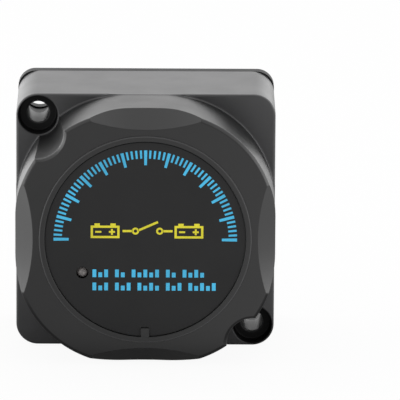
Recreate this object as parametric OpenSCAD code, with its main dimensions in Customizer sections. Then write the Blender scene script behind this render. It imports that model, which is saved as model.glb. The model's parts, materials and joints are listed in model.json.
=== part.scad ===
// Battery isolator relay: a plunger contactor for two 12 V batteries in a moulded case.
// Every piece is drawn lying on the mounting face, with depth along Z, and then stood up, so that
// the round front faces -Y, +Z is up and the origin is the centre of the mounting face.

/* [Case] */
// Gap between the terminal bay's wall and the case's wall
case_gap = 0.3; // [0.2:0.05:1]
// Depth from the mounting face to the square shoulder
square_h = 30.8; // [25:0.2:36]
// Depth from the mounting face to the round front face
face_h = 51.6; // [44:0.2:62]
// Wall of the case
wall = 2.4; // [2:0.1:3]
// Rounding of the shoulder's edge
edge_r = 0.7; // [0.3:0.1:1]
// Chamfer of the round front's rim
rim_cut = 0.8; // [0.3:0.1:1.2]
// Fillet at the foot of the round front
foot_r = 0.5; // [0.3:0.05:1]
// Half length of the flats where the round front is flush with the square's sides
front_flat = 4.9; // [3:0.1:7]
// How far each scoop reaches in over the front face
scoop_reach = 4.7; // [3:0.1:5.2]
// How far each scoop runs down the round wall
scoop_drop = 5.6; // [3:0.1:7]
// Radius of the scoops' hollow
scoop_r = 62; // [50:1:90]

/* [Screw pillars] */
// Radius of the driver bore
bore_r = 5.2; // [4.8:0.05:6.4]
// Wall between the driver bore and the case's side, which sets the case's corner radius
bore_web = 0.6; // [0.4:0.05:1.2]
// Radius of the mounting screw's hole
screw_hole_r = 2.85; // [2.2:0.05:3.4]
// Radius of the rear bore
rear_bore_r = 4.6; // [3.6:0.05:4.8]
// Radius of the base's hole behind the rear bore
plate_hole_r = 4.25; // [3.5:0.05:4.6]
// Depth from the mounting face to the screw head's seat
seat_h = 27; // [22:0.2:28.4]
// Thickness of the web under the screw head
web_t = 11; // [4:0.2:14]
// Radius of the notch in the round front, at its foot
notch_foot_r = 5.6; // [5.4:0.05:5.9]
// Radius of the notch in the round front, at its face
notch_face_r = 7.1; // [6.2:0.05:7.4]

/* [Label] */
// Radius of the label
label_r = 26.35; // [24:0.05:26.6]
// Thickness of the label
label_t = 0.35; // [0.2:0.05:0.45]
// Depth of the label's recess
recess_d = 0.5; // [0.4:0.05:0.7]
// Width of the raised lip round the label
lip_w = 1.55; // [1:0.05:1.8]
// Height of the lip over the front face
lip_h = 0.4; // [0.2:0.05:0.8]
// Width of the key that stops the label turning
key_w = 2.2; // [1.6:0.1:3]
// Length of the key
key_l = 2.4; // [1.6:0.1:3]
// Diameter of the status light
led_d = 3; // [2.8:0.1:3.2]
// Status light, distance left of the centre
led_left = 16.6; // [15:0.1:18]
// Status light, distance below the centre
led_down = 9.1; // [8:0.1:10]

/* [Base] */
// Thickness of the base's edge behind the case
plate_t = 3.4; // [3:0.1:4]
// Corner radius of the base's edge
plate_corner_r = 4.6; // [4:0.1:5.4]
// Room beside the terminal bay's side walls
bay_side_gap = 2.1; // [0.6:0.1:4]
// Gap between the nuts' flanges and the terminal bay's ends
nut_gap = 0.6; // [0.4:0.1:2]
// Depth of the terminal bay
bay_d = 16; // [15.6:0.2:17]
// Thickness of the bay's floor
floor_t = 3; // [2.8:0.1:3.4]
// Wall of the bay
bay_wall = 2.2; // [1.8:0.1:2.3]
// Width of each cable outlet
outlet_w = 12; // [9:0.5:13]
// Depth of each cable outlet
outlet_d = 13; // [9:0.5:13.5]
// Distance of each cable outlet from the centre line
outlet_at = 13.4; // [12.4:0.2:13.6]

/* [Terminals] */
// Diameter of the studs
stud_d = 8; // [6:0.5:8]
// How far the studs end inside the mounting face
stud_inset = 1.2; // [0.6:0.1:2]
// Width across flats of the hex nuts
nut_af = 13; // [12:0.5:14]
// Thickness of the thin nuts
jam_t = 3; // [2.5:0.1:3.4]
// Height of the flange nuts
nut_h = 7.6; // [6:0.1:8]
// Diameter of the flange nuts' flange
nut_flange_d = 16; // [15.5:0.1:16.6]
// Outer diameter of the toothed washers
washer_d = 14.8; // [13:0.1:15.6]
// Thickness of the toothed washers
washer_t = 1; // [0.6:0.1:1.2]
// Radius of the contact posts
post_r = 6; // [5:0.1:6.6]
// Thickness of the silver tips
tip_t = 0.8; // [0.5:0.1:1]
// Radius of the silver tips
tip_r = 4.4; // [3:0.1:4.8]

/* [Solenoid] */
// Length of the solenoid's frame, which the studs stand clear of at both ends
yoke_l = 26.4; // [21:0.1:33]
// Gap between the solenoid's frame and the studs' collars
yoke_gap = 0.6; // [0.4:0.1:2]
// Thickness of the frame and its cap
yoke_t = 2; // [1.6:0.1:2.2]
// Gap between the bobbin and the frame's walls
coil_gap = 1; // [0.4:0.1:2]
// How far the bobbin's flanges stand over the winding
winding_inset = 1; // [0.6:0.1:2]
// Room between the push rod's end and the case's front wall
rod_gap = 0.9; // [0.5:0.1:2]
// Depth of the winding, inside which the bobbin's tube, the sleeve and the plunger lie
winding_d = 4.85; // [3.6:0.05:6]
// Wall of the guide sleeve
sleeve_t = 0.4; // [0.3:0.05:0.5]
// Radius of the push rod
rod_r = 2; // [1.7:0.05:2.2]
// Open gap between the contacts
contact_gap = 2; // [1.6:0.1:2]
// Travel of the plunger after the contacts meet
over_travel = 0.6; // [0.4:0.1:0.6]

/* [Bridge] */
// Width of the contact bridge
bridge_w = 14; // [12:0.2:14.4]
// Rim of the contact bridge round its silver tips
bridge_rim = 1.6; // [1:0.1:2.6]
// Thickness of the contact bridge
bridge_t = 2; // [1.6:0.1:2.2]
// Working height of the contact spring
contact_spring_l = 3; // [2.8:0.05:3.1]

/* [Circuit board] */
// Gap round the circuit board
board_gap = 2.7; // [1:0.1:4]
// Thickness of the circuit board
board_t = 1.6; // [1.2:0.1:1.7]
// Height of the posts that carry the board
post_l = 2.4; // [2.3:0.1:2.8]
// Distance of the board's screws from its edge
board_screw_in = 4.3; // [3.4:0.1:5]

/* [Hidden] */
$fn = 96;

// Cuts run past the faces that they open by this much
over = 1;
// Gap between two moulded or pressed pieces that fit together
fit = 0.2;
// Gap round a piece that slides
slide = 0.1;
// Gap round a screw, pin or lead in its hole
snug = 0.05;
// Rings of points in each turn of a spring's wire
rings_per_turn = 14;

// Places of the studs and sizes of the bay, from the solenoid outwards
post_collar = 1.2;
flange_r = post_r + post_collar;
stud_at = yoke_l / 2 + yoke_gap + flange_r;
bay_half_l = stud_at + nut_flange_d / 2 + nut_gap;

// Case
inner_half = bay_half_l + bay_wall + case_gap;
half = inner_half + wall;
side = 2 * half;
corner_r = bore_r + bore_web;
corner_at = half - corner_r;
corner_out = corner_at * sqrt(2);
round_inset = 0.1;
round_r = half - round_inset;
inner_corner_r = corner_r - wall;
front_arc_r = round_r - front_flat;
inner_r = round_r - wall;
inner_face_h = face_h - wall;
inner_cut = scoop_reach / 2;
pillar_wall = 2;
pillar_r = bore_r + pillar_wall;
boss_r = inner_corner_r + 0.2 * wall;
lip_in_r = label_r + fit;
lip_out_r = lip_in_r + lip_w;
recess_h = face_h - recess_d;
lip_edge = lip_h / 3;
scoop_tilt = atan2(scoop_reach, scoop_drop);
led_r = led_d / 2;
led_flange_r = led_r + 0.3 * led_r;
led_flange_t = led_d / 4;

// Base and terminal bay
floor_h = bay_d + floor_t;
bay_half_w = inner_half - bay_side_gap - bay_wall;
bay_gap = 2 * fit;
pillar_clip = (corner_out - pillar_r - bay_gap - bay_wall) * sqrt(2);
boss_clip = (corner_out - boss_r - bay_gap - bay_wall) * sqrt(2);
outlet_end = inner_half - fit;
outlet_r = outlet_w / 2;

// Case screws
case_screw_r = 1.45;
case_head_r = 2 * case_screw_r;
case_screw_l = 15;

// Terminals
stud_r = stud_d / 2;
strap_t = 0.8;
flange_t = 2.4;
jam_h = bay_d - jam_t;
washer_h = jam_h - washer_t;
nut_end = washer_h - nut_h;
hex_edge = 0.6;
nut_flange_t = 0.22 * nut_h;
seal_r = 0.55;
seal_seat_d = 1.2;
tooth_count = 8;
grommet_r = 2.6;
grommet_bore_r = 1.3;
grommet_lip = 0.9;
grommet_x = -0.76 * bay_half_w;
grommet_y = 0.26 * bay_half_l;

// Heights of the moving contact, from the case's front wall inwards
clip_t = 0.6;
cup_t = 0.5;
rod_end = inner_face_h - rod_gap;
clip_h = rod_end - 2 * clip_t;
cup_h = clip_h - cup_t;
bridge_end = cup_h - contact_spring_l;
bridge_h = bridge_end - bridge_t;
tip_h = bridge_h - contact_gap - tip_t;
post_h = tip_h - tip_t;

// Solenoid, which takes the height between the bay's floor and the contacts
bobbin_l = post_h - floor_h - 2 * yoke_t;
bobbin_r = yoke_l / 2 - fit;
winding_r = bobbin_r - winding_inset;
bobbin_wall = 1.1;
bobbin_tube_r = winding_r - winding_d;
bobbin_bore_r = bobbin_tube_r - bobbin_wall;
sleeve_out_r = bobbin_bore_r - snug;
sleeve_in_r = sleeve_out_r - sleeve_t;
plunger_r = sleeve_in_r - slide;
yoke_w = 2 * (bobbin_r + coil_gap + yoke_t);
yoke_h = floor_h + yoke_t;
bobbin_end = yoke_h + bobbin_l;
cap_end = bobbin_end + yoke_t;
bobbin_flange_t = 1.4;
tape_t = 0.3;
core_l = 0.4 * bobbin_l;
core_end = yoke_h + core_l;
spigot_r = 0.6 * plunger_r;
pole_gap = 0.1;
travel = contact_gap + over_travel;
plunger_start = core_end + pole_gap + travel;
pocket_r = 2.6;
pocket_d = core_l / 2;
return_wire_r = 0.3;
return_mean_r = pocket_r - 2 * return_wire_r;
tab_w = 5;
tab_at = yoke_l / 4;
tab_l = 0.2 * yoke_t;
yoke_screw_r = 1.5;
yoke_screw_at = yoke_w * 0.32;
yoke_head_r = 2.7;
yoke_head_t = 1.8;
pin_r = 0.4;
pin_x = 0.8 * bobbin_r;
pin_y = 0.38 * bobbin_r;

// Moving contact
bridge_l = 2 * (stud_at + tip_r + bridge_rim);
shoulder_t = 0.6;
shoulder_r = 1.2 * plunger_r;
plunger_end = bridge_h - shoulder_t;
bush_r = 3.6;
bush_rise = over_travel + 0.3 * contact_gap / 2;
bridge_bore_r = bush_r + slide;
cup_rim = 0.6;
rod_neck_r = 0.8 * rod_r;
contact_wire_r = 0.35;
contact_mean_r = bridge_bore_r + 2 * contact_wire_r;
cup_r = contact_mean_r + 3 * contact_wire_r;
clip_r = 1.8 * rod_r;

// Board
board_r = inner_r - board_gap;
board_screw_at = board_r - board_screw_in;
board_front = inner_face_h - post_l;
board_rear = board_front - board_t;
board_room = 1.5;
board_bore_r = cup_r + board_room;
board_post_r = 2.5;
board_screw_r = 1.1;
board_screw_angles = [45, 135, 225, 315];
board_head_r = 2 * board_screw_r;
board_head_t = 1.3;
board_screw_l = board_t + 0.9 * post_l;
lead_r = 0.25;
lead_pitch = 2.54;
strap_w = 3;
strap_gap = 1.2;
strap_x = flange_r + strap_gap;
part_share = 0.68;
part_x = part_share * board_r;
cap_share = 0.307;
diode_share = 0.458;
suppressor_share = 0.312;
chip_capacitor_share = 0.454;
chip_resistor_shares = [0.266, 0.402];
chip_h = 1.5;
chip_x = 5;
chip_y = 3.9;
chip_lead_w = 0.6;
transistor_x = 6.5;
transistor_y = 6.1;
transistor_h = 2.3;
diode_x = 4.4;
diode_y = 2.6;
diode_h = 2.2;
cap_r = 3.2;
cap_l = 7;
cap_drop = cap_share * board_r;
resistor_x = 2;
resistor_y = 1.25;
resistor_h = 0.55;
row_count = 3;

// Stands a piece that was drawn lying on the mounting face up
module stand() {
    rotate([90, 0, 0]) children();
}

// Copies to both screw pillars, top left and bottom right
module at_pillars() {
    for (turn = [0, 180]) rotate(turn) translate([-corner_at, corner_at]) children();
}

// Copies to both case screws, top right and bottom left
module at_bosses() {
    for (turn = [0, 180]) rotate(turn) translate([corner_at, corner_at]) children();
}

// Copies to both studs, the lower one turned half round
module at_studs() {
    for (turn = [0, 180]) rotate(turn) translate([0, stud_at]) children();
}

// Copies to the board's screws
module at_board_screws() {
    for (turn = board_screw_angles) rotate(turn) translate([board_screw_at, 0]) children();
}

// Flat square with round corners
module round_square(half_w, r) {
    square([2 * (half_w - r), 2 * half_w], center = true);
    square([2 * half_w, 2 * (half_w - r)], center = true);
    for (x = [-1, 1], y = [-1, 1]) translate([x * (half_w - r), y * (half_w - r)]) circle(r = r);
}

// Rectangle from the axis out to reach, with its upper outer corner rounded
module rounded_edge(reach, height, r) {
    square([reach - r, height]);
    square([reach, height - r]);
    translate([reach - r, height - r]) circle(r = r, $fn = 48);
}

// Rectangle from the axis out to reach, with its upper outer corner cut off
module cut_edge(reach, height, cut) {
    polygon([[0, 0], [reach, 0], [reach, height - cut], [reach - cut, height], [0, height]]);
}

// Square block with round corners and a chamfered front edge, between two depths
module cut_block(half_w, r, from, to, cut) {
    for (turn = [0 : 90 : 270]) rotate(turn) translate([0, 0, from]) {
        rotate([90, 0, 0]) linear_extrude(2 * (half_w - r), center = true)
            cut_edge(half_w, to - from, cut);
        translate([half_w - r, half_w - r]) rotate_extrude() cut_edge(r, to - from, cut);
    }
}

// Square block with round corners and a rounded front edge
module soft_block(half_w, r, height, edge) {
    for (turn = [0 : 90 : 270]) rotate(turn) {
        rotate([90, 0, 0]) linear_extrude(2 * (half_w - r), center = true)
            rounded_edge(half_w, height, edge);
        translate([half_w - r, half_w - r]) rotate_extrude() rounded_edge(r, height, edge);
    }
}

// Tube from the mounting face's side, between two depths
module tube(outer_r, inner_r, from, to) {
    translate([0, 0, from]) difference() {
        cylinder(r = outer_r, h = to - from);
        translate([0, 0, -over]) cylinder(r = inner_r, h = to - from + 2 * over);
    }
}

// Rod between two depths
module rod(r, from, to) {
    translate([0, 0, from]) cylinder(r = r, h = to - from);
}

// Box centred on x and y, between two depths
module slab(x, y, from, to) {
    translate([-x / 2, -y / 2, from]) cube([x, y, to - from]);
}

// Hexagonal bar between two depths, with its corners turned off at both ends
module hex_bar(across, from, to) {
    corner = across / sqrt(3);
    intersection() {
        translate([0, 0, from]) cylinder(r = corner, h = to - from, $fn = 6);
        union() {
            translate([0, 0, from]) cylinder(r1 = corner - hex_edge, r2 = corner, h = hex_edge);
            rod(corner, from + hex_edge, to - hex_edge);
            translate([0, 0, to - hex_edge]) cylinder(r1 = corner, r2 = corner - hex_edge, h = hex_edge);
        }
    }
}

// Points of one ring of a spring's wire, t from 0 at the start to 1 at the end
function wire_ring(mean_r, wire_r, length, turns, t, sides) = [
    for (k = [0 : sides - 1])
        let (a = 360 * turns * t, b = 360 * k / sides, r = mean_r + wire_r * cos(b))
        [r * cos(a), r * sin(a), wire_r + t * (length - 2 * wire_r) + wire_r * sin(b)]
];

// Round wire wound to a spring that stands on the plane z = 0
module spring(mean_r, wire_r, length, turns) {
    sides = 6;
    rings = ceil(turns * rings_per_turn);
    points = [
        for (i = [0 : rings]) each wire_ring(mean_r, wire_r, length, turns, i / rings, sides)
    ];
    walls = [
        for (i = [0 : rings - 1], k = [0 : sides - 1])
            let (a = i * sides + k, b = i * sides + (k + 1) % sides)
            each [[a, a + sides, b], [b, a + sides, b + sides]]
    ];
    start_cap = [for (k = [1 : sides - 2]) [0, k, k + 1]];
    last = rings * sides;
    end_cap = [for (k = [1 : sides - 2]) [last, last + k + 1, last + k]];
    polyhedron(points, concat(walls, start_cap, end_cap));
}

// Case

// Notch that leaves the driver's bore free beside the round front
module notch(extra, from) {
    translate([0, 0, from]) cylinder(
        r1 = notch_foot_r + extra, r2 = notch_face_r + extra, h = face_h + over - from
    );
}

// Chamfer of the notch's rim
module notch_rim() {
    translate([0, 0, face_h - rim_cut])
        cylinder(r1 = notch_face_r, r2 = notch_face_r + 2 * rim_cut, h = 2 * rim_cut);
}

// Outline of a cable outlet, drawn flat, with its round end away from the mounting face
module outlet_shape(grow) {
    translate([-outlet_r - grow, -over]) square([outlet_w + 2 * grow, outlet_d - outlet_r + over]);
    translate([0, outlet_d - outlet_r]) circle(r = outlet_r + grow);
}

// Both cable outlets, as bars that run out from the bay's side wall, between two reaches
module outlets(grow, near, far) {
    for (turn = [0, 180]) rotate(turn) translate([near, outlet_at, 0])
        rotate([90, 0, 90]) linear_extrude(far - near) outlet_shape(grow);
}

module case_shape() {
    soft_block(half, corner_r, square_h, edge_r);
    cut_block(round_r, front_arc_r, square_h - edge_r, face_h, rim_cut);
    intersection() {
        for (turn = [0 : 90 : 270]) rotate(turn) translate([front_flat, front_flat])
            rotate_extrude() difference() {
                translate([0, square_h - edge_r]) square([front_arc_r + foot_r, foot_r + edge_r]);
                translate([front_arc_r + foot_r, square_h + foot_r]) circle(r = foot_r);
            }
        linear_extrude(face_h) round_square(half, corner_r);
    }
}

module case_hollow() {
    difference() {
        union() {
            translate([0, 0, -over]) linear_extrude(square_h - wall + over)
                round_square(inner_half, inner_corner_r);
            cut_block(inner_r, front_arc_r - wall, -over, inner_face_h, inner_cut);
        }
        at_pillars() {
            rod(pillar_r, -2 * over, square_h);
            notch(pillar_wall, square_h - wall);
        }
        at_bosses() rod(boss_r, -2 * over, square_h);
        at_board_screws() rod(board_post_r, board_front, face_h);
    }
}

module scoops() {
    for (turn = [0 : 90 : 270]) rotate(turn)
        translate([0, round_r - scoop_reach, face_h]) rotate([scoop_tilt, 0, 0])
            translate([0, scoop_r, 0]) cylinder(r = scoop_r, h = side, center = true);
}

module lip() {
    rotate_extrude() polygon([
        [lip_in_r, face_h - recess_d / 2], [lip_in_r, face_h + lip_h - lip_edge],
        [lip_in_r + lip_edge, face_h + lip_h], [lip_out_r - lip_edge, face_h + lip_h],
        [lip_out_r, face_h + lip_h - lip_edge], [lip_out_r, face_h - recess_d / 2]
    ]);
}

module housing() {
    color([0.16, 0.16, 0.17]) stand() {
        difference() {
            case_shape();
            case_hollow();
            translate([0, 0, plate_t - side]) cube([2 * side, 2 * side, 2 * side], center = true);
            at_pillars() {
                notch(0, square_h);
                notch_rim();
                rod(bore_r, seat_h, face_h);
                rod(screw_hole_r, 0, seat_h + over);
                rod(rear_bore_r, 0, seat_h - web_t);
            }
            at_bosses() rod(case_screw_r + snug, 0, plate_t + case_screw_l);
            at_board_screws() rod(board_screw_r + snug, 0, board_front + post_l + wall / 3);
            scoops();
            rod(lip_in_r, recess_h, face_h + over);
            translate([-led_left, -led_down]) rod(led_r + fit, inner_face_h - over, face_h + over);
            outlets(0, outlet_end - over, half + over);
        }
        lip();
        translate([0, -lip_in_r + key_l / 2 - lip_w / 4, recess_h - recess_d / 2])
            slab(key_w, key_l + lip_w / 2, 0, recess_d * 1.5 + lip_h - lip_edge);
    }
}

module label_disc() {
    color([0.11, 0.11, 0.12]) stand() difference() {
        rod(label_r, recess_h, recess_h + label_t);
        translate([-led_left, -led_down]) rod(led_r + fit / 2, recess_h - over, face_h + over);
        translate([0, -label_r, 0])
            slab(key_w + 2 * fit, 2 * (key_l + fit), recess_h - over, face_h + over);
    }
}

module status_led() {
    dome_h = recess_h - led_r + label_t / 2;
    color([0.62, 0.6, 0.6]) stand() translate([-led_left, -led_down]) {
        rod(led_flange_r, board_front, board_front + led_flange_t);
        rod(led_r, board_front, dome_h);
        intersection() {
            translate([0, 0, dome_h]) sphere(r = led_r);
            rod(led_r, dome_h - over, dome_h + led_d);
        }
    }
}

module led_leads() {
    color([0.75, 0.75, 0.77]) stand() translate([-led_left, -led_down])
        for (x = [-1, 1]) translate([x * lead_pitch / 2, 0])
            rod(lead_r, board_rear - board_t / 2, board_front);
}

// Base and terminals

// Outline of the terminal bay: clipped more at the screw pillars than at the case screws
module bay_shape(grow) {
    w = bay_half_w + grow;
    l = bay_half_l + grow;
    p = pillar_clip + grow * sqrt(2);
    b = boss_clip + grow * sqrt(2);
    polygon([
        [w, b - w], [b - l, l], [l - p, l], [-w, p - w],
        [-w, w - b], [l - b, -l], [p - l, -l], [w, w - p]
    ]);
}

module base() {
    color([0.09, 0.09, 0.1]) stand() difference() {
        union() {
            linear_extrude(plate_t) round_square(half, plate_corner_r);
            linear_extrude(floor_h) bay_shape(bay_wall);
            intersection() {
                outlets(bay_wall, bay_half_w, outlet_end);
                slab(side, side, 0, floor_h);
            }
        }
        translate([0, 0, -over]) linear_extrude(bay_d + over) bay_shape(0);
        outlets(0, bay_half_w - over, half + over);
        at_studs() {
            rod(stud_r + snug, 0, floor_h + over);
            rod(stud_r + snug + 2.4 * seal_r, floor_h - seal_seat_d, floor_h + over);
        }
        at_pillars() rod(plate_hole_r, -over, plate_t + over);
        at_bosses() {
            rod(case_screw_r + fit, -over, plate_t + over);
            translate([0, 0, -over]) cylinder(
                r1 = case_head_r + fit + over, r2 = case_screw_r + fit,
                h = case_head_r - case_screw_r + over
            );
        }
        for (x = [-1, 1]) translate([x * yoke_screw_at, 0])
            rod(yoke_screw_r + snug, 0, floor_h + over);
        grommet_place() rod(grommet_r + snug, 0, floor_h + over);
    }
}

module terminal_studs() {
    color([0.72, 0.42, 0.25]) stand() at_studs() {
        rod(stud_r, stud_inset + hex_edge, floor_h + strap_t + flange_t);
        translate([0, 0, stud_inset])
            cylinder(r1 = stud_r - hex_edge, r2 = stud_r, h = hex_edge);
        rod(flange_r, floor_h + strap_t, floor_h + strap_t + flange_t);
        rod(post_r, floor_h + strap_t, post_h);
    }
}

module post_tips() {
    color([0.86, 0.86, 0.87]) stand() at_studs() rod(tip_r, post_h, tip_h);
}

module jam_nuts() {
    color([0.8, 0.78, 0.72]) stand() at_studs() difference() {
        hex_bar(nut_af, jam_h, bay_d);
        rod(stud_r + snug, 0, floor_h);
    }
}

module terminal_washers() {
    ring_r = stud_r + 0.35 * (washer_d / 2 - stud_r);
    color([0.78, 0.78, 0.8]) stand() at_studs() difference() {
        union() {
            tube(washer_d / 2, ring_r, washer_h, jam_h);
            for (k = [0 : tooth_count - 1]) rotate(360 * k / tooth_count)
                translate([0, (stud_r + ring_r) / 2 + slide])
                    slab(stud_r / 2, ring_r - stud_r, washer_h, jam_h);
        }
        rod(stud_r + snug, 0, floor_h);
    }
}

module terminal_nuts() {
    flange_top = washer_h - nut_flange_t;
    color([0.8, 0.8, 0.82]) stand() at_studs() difference() {
        union() {
            hex_bar(nut_af, nut_end, washer_h);
            rod(nut_flange_d / 2, washer_h - nut_flange_t / 2, washer_h);
            translate([0, 0, flange_top - nut_flange_t / 2]) cylinder(
                r1 = nut_af / 2, r2 = nut_flange_d / 2, h = nut_flange_t
            );
        }
        rod(stud_r + snug, 0, floor_h);
    }
}

module stud_seals() {
    color([0.12, 0.12, 0.12]) stand() at_studs() rotate_extrude()
        translate([stud_r + snug + 1.1 * seal_r, floor_h - seal_r - (seal_seat_d - 2 * seal_r)])
            circle(r = seal_r, $fn = 32);
}

module grommet_place() {
    translate([grommet_x, grommet_y]) children();
}

module earth_grommet() {
    color([0.14, 0.14, 0.14]) stand() grommet_place() difference() {
        union() {
            rod(grommet_r, bay_d, floor_h);
            rod(grommet_r + grommet_lip, bay_d - grommet_lip, bay_d);
            rod(grommet_r + grommet_lip, floor_h, floor_h + grommet_lip);
        }
        rod(grommet_bore_r, 0, floor_h + grommet_r + over);
    }
}

// Screw with a round head; its shank points away from the mounting face
module pan_screw(head_r, head_t, r, length) {
    slot_w = head_r / 4;
    difference() {
        union() {
            rotate_extrude() intersection() {
                translate([0, -head_t]) square([head_r, head_t]);
                translate([0, -head_t]) rounded_pan(head_r, head_t);
            }
            rod(r, -head_t / 2, length - r);
            translate([0, 0, length - r]) cylinder(r1 = r, r2 = r / 2, h = r);
        }
        for (turn = [0, 90]) rotate(turn) slab(1.2 * head_r, slot_w, -head_t - over, -head_t / 2);
    }
}

// Half outline of a pan head, flat underneath at the top of the drawing
module rounded_pan(head_r, head_t) {
    corner = 0.45 * head_t;
    translate([0, corner]) square([head_r, head_t - corner]);
    square([head_r - corner, head_t]);
    translate([head_r - corner, corner]) circle(r = corner, $fn = 32);
}

module case_screws() {
    cone = case_head_r - case_screw_r;
    color([0.7, 0.7, 0.72]) stand() at_bosses() difference() {
        union() {
            cylinder(r1 = case_head_r, r2 = case_screw_r, h = cone);
            rod(case_screw_r, cone / 2, case_screw_l - case_screw_r);
            translate([0, 0, case_screw_l - case_screw_r])
                cylinder(r1 = case_screw_r, r2 = case_screw_r / 4, h = case_screw_r);
        }
        for (turn = [0, 90]) rotate(turn)
            slab(1.3 * case_head_r, case_head_r / 4, -over, 0.8 * cone);
    }
}

module yoke_screws() {
    color([0.7, 0.7, 0.72]) stand() for (x = [-1, 1]) translate([x * yoke_screw_at, 0, bay_d])
        pan_screw(yoke_head_r, yoke_head_t, yoke_screw_r, floor_t + yoke_t - snug);
}

// Solenoid

module yoke_frame() {
    color([0.66, 0.66, 0.64]) stand() {
        difference() {
            slab(yoke_w, yoke_l, floor_h, yoke_h);
            rod(spigot_r + snug, floor_h - over, yoke_h + over);
            for (x = [-1, 1]) translate([x * yoke_screw_at, 0])
                rod(yoke_screw_r + snug, floor_h - over, yoke_h + over);
        }
        for (x = [-1, 1]) translate([x * (yoke_w - yoke_t) / 2, 0]) {
            slab(yoke_t, yoke_l, floor_h, bobbin_end);
            for (y = [-1, 1]) translate([0, y * tab_at])
                slab(yoke_t, tab_w, floor_h, cap_end + tab_l);
        }
    }
}

module yoke_cap() {
    color([0.68, 0.68, 0.66]) stand() difference() {
        slab(yoke_w, yoke_l, bobbin_end, cap_end);
        rod(sleeve_out_r + snug, bobbin_end - over, cap_end + over);
        for (x = [-1, 1], y = [-1, 1]) {
            translate([x * (yoke_w - yoke_t + over) / 2, y * tab_at])
                slab(yoke_t + over + 2 * snug, tab_w + 2 * snug, bobbin_end - over, cap_end + over);
        }
        for (y = [-1, 1]) translate([pin_x, y * pin_y])
            rod(2.4 * pin_r, bobbin_end - over, cap_end + over);
    }
}

module fixed_core() {
    color([0.62, 0.62, 0.6]) stand() difference() {
        union() {
            rod(spigot_r, floor_h, core_end);
            rod(plunger_r, yoke_h, core_end);
        }
        rod(pocket_r, core_end - pocket_d, core_end + over);
    }
}

module guide_sleeve() {
    color([0.8, 0.66, 0.36]) stand() tube(sleeve_out_r, sleeve_in_r, yoke_h, cap_end);
}

module coil_bobbin() {
    color([0.85, 0.83, 0.76]) stand() {
        tube(bobbin_tube_r, bobbin_bore_r, yoke_h, bobbin_end);
        difference() {
            union() {
                tube(bobbin_r, bobbin_bore_r, yoke_h, yoke_h + bobbin_flange_t);
                tube(bobbin_r, bobbin_bore_r, bobbin_end - bobbin_flange_t, bobbin_end);
            }
            for (y = [-1, 1]) translate([pin_x, y * pin_y])
                rod(pin_r + snug, bobbin_end - bobbin_flange_t - over, bobbin_end + over);
        }
    }
}

module coil_winding() {
    color([0.75, 0.36, 0.2]) stand() tube(
        winding_r, bobbin_tube_r + snug,
        yoke_h + bobbin_flange_t + snug, bobbin_end - bobbin_flange_t - snug
    );
}

module coil_tape() {
    color([0.85, 0.72, 0.2]) stand() tube(
        winding_r + snug + tape_t, winding_r + snug,
        yoke_h + bobbin_flange_t + fit, bobbin_end - bobbin_flange_t - fit
    );
}

module coil_pins() {
    color([0.75, 0.75, 0.77]) stand() for (y = [-1, 1]) translate([pin_x, y * pin_y])
        rod(pin_r, bobbin_end - bobbin_flange_t, board_front + pin_r);
}

module plunger() {
    color([0.6, 0.6, 0.6]) stand() difference() {
        rod(plunger_r, plunger_start, plunger_end);
        rod(pocket_r, plunger_start - over, plunger_start + pocket_d);
        rod(rod_r, plunger_start + 1.3 * pocket_d, plunger_end + over);
    }
}

module push_rod() {
    color([0.78, 0.78, 0.8]) stand() {
        rod(rod_r, plunger_start + 1.3 * pocket_d, clip_h);
        rod(rod_neck_r, clip_h - clip_t, clip_h + clip_t + clip_t / 2);
        translate([0, 0, clip_h + clip_t + snug])
            cylinder(r1 = rod_r, r2 = rod_neck_r, h = rod_end - clip_h - clip_t - snug);
    }
}

module carrier_bush() {
    color([0.9, 0.9, 0.86]) stand() difference() {
        union() {
            rod(shoulder_r, plunger_end, bridge_h);
            rod(bush_r, plunger_end, bridge_end + bush_rise);
        }
        rod(rod_r + snug, plunger_end - over, cup_h + over);
    }
}

module spring_cup() {
    color([0.76, 0.76, 0.78]) stand() {
        tube(cup_r, rod_r + snug, cup_h, cup_h + cup_t);
        tube(cup_r, cup_r - cup_t / 2, cup_h - cup_rim, cup_h + cup_t);
    }
}

module e_clip() {
    color([0.35, 0.35, 0.38]) stand() difference() {
        tube(clip_r, rod_neck_r + snug, clip_h, clip_h + clip_t);
        translate([0, -clip_r]) slab(1.6 * rod_neck_r, 2 * clip_r, 0, face_h);
    }
}

module return_spring() {
    color([0.7, 0.7, 0.72]) stand() translate([0, 0, core_end - pocket_d + snug])
        spring(return_mean_r, return_wire_r, 2 * pocket_d + pole_gap + travel - 2 * snug, 6);
}

module contact_bridge() {
    end_r = bridge_w / 2;
    color([0.76, 0.43, 0.26]) stand() difference() {
        union() {
            slab(bridge_w, bridge_l - 2 * end_r, bridge_h, bridge_end);
            for (y = [-1, 1]) translate([0, y * (bridge_l / 2 - end_r)])
                rod(end_r, bridge_h, bridge_end);
        }
        rod(bridge_bore_r, bridge_h - over, bridge_end + over);
    }
}

module bridge_tips() {
    color([0.86, 0.86, 0.87]) stand() at_studs() rod(tip_r, bridge_h - tip_t, bridge_h);
}

module contact_spring() {
    color([0.7, 0.7, 0.72]) stand() translate([0, 0, bridge_end + snug])
        spring(contact_mean_r, contact_wire_r, contact_spring_l - 2 * snug, 2.5);
}

// Board

module sense_straps() {
    color([0.82, 0.68, 0.36]) stand() at_studs() {
        tube(flange_r, stud_r + snug, floor_h, floor_h + strap_t);
        translate([(stud_r + strap_x + strap_t) / 2 + strap_t, 0])
            slab(strap_x + strap_t - stud_r - 2 * strap_t, strap_w, floor_h, floor_h + strap_t);
        translate([strap_x + strap_t / 2, 0])
            slab(strap_t, strap_w, floor_h, board_front + strap_t / 2);
    }
}

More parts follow.
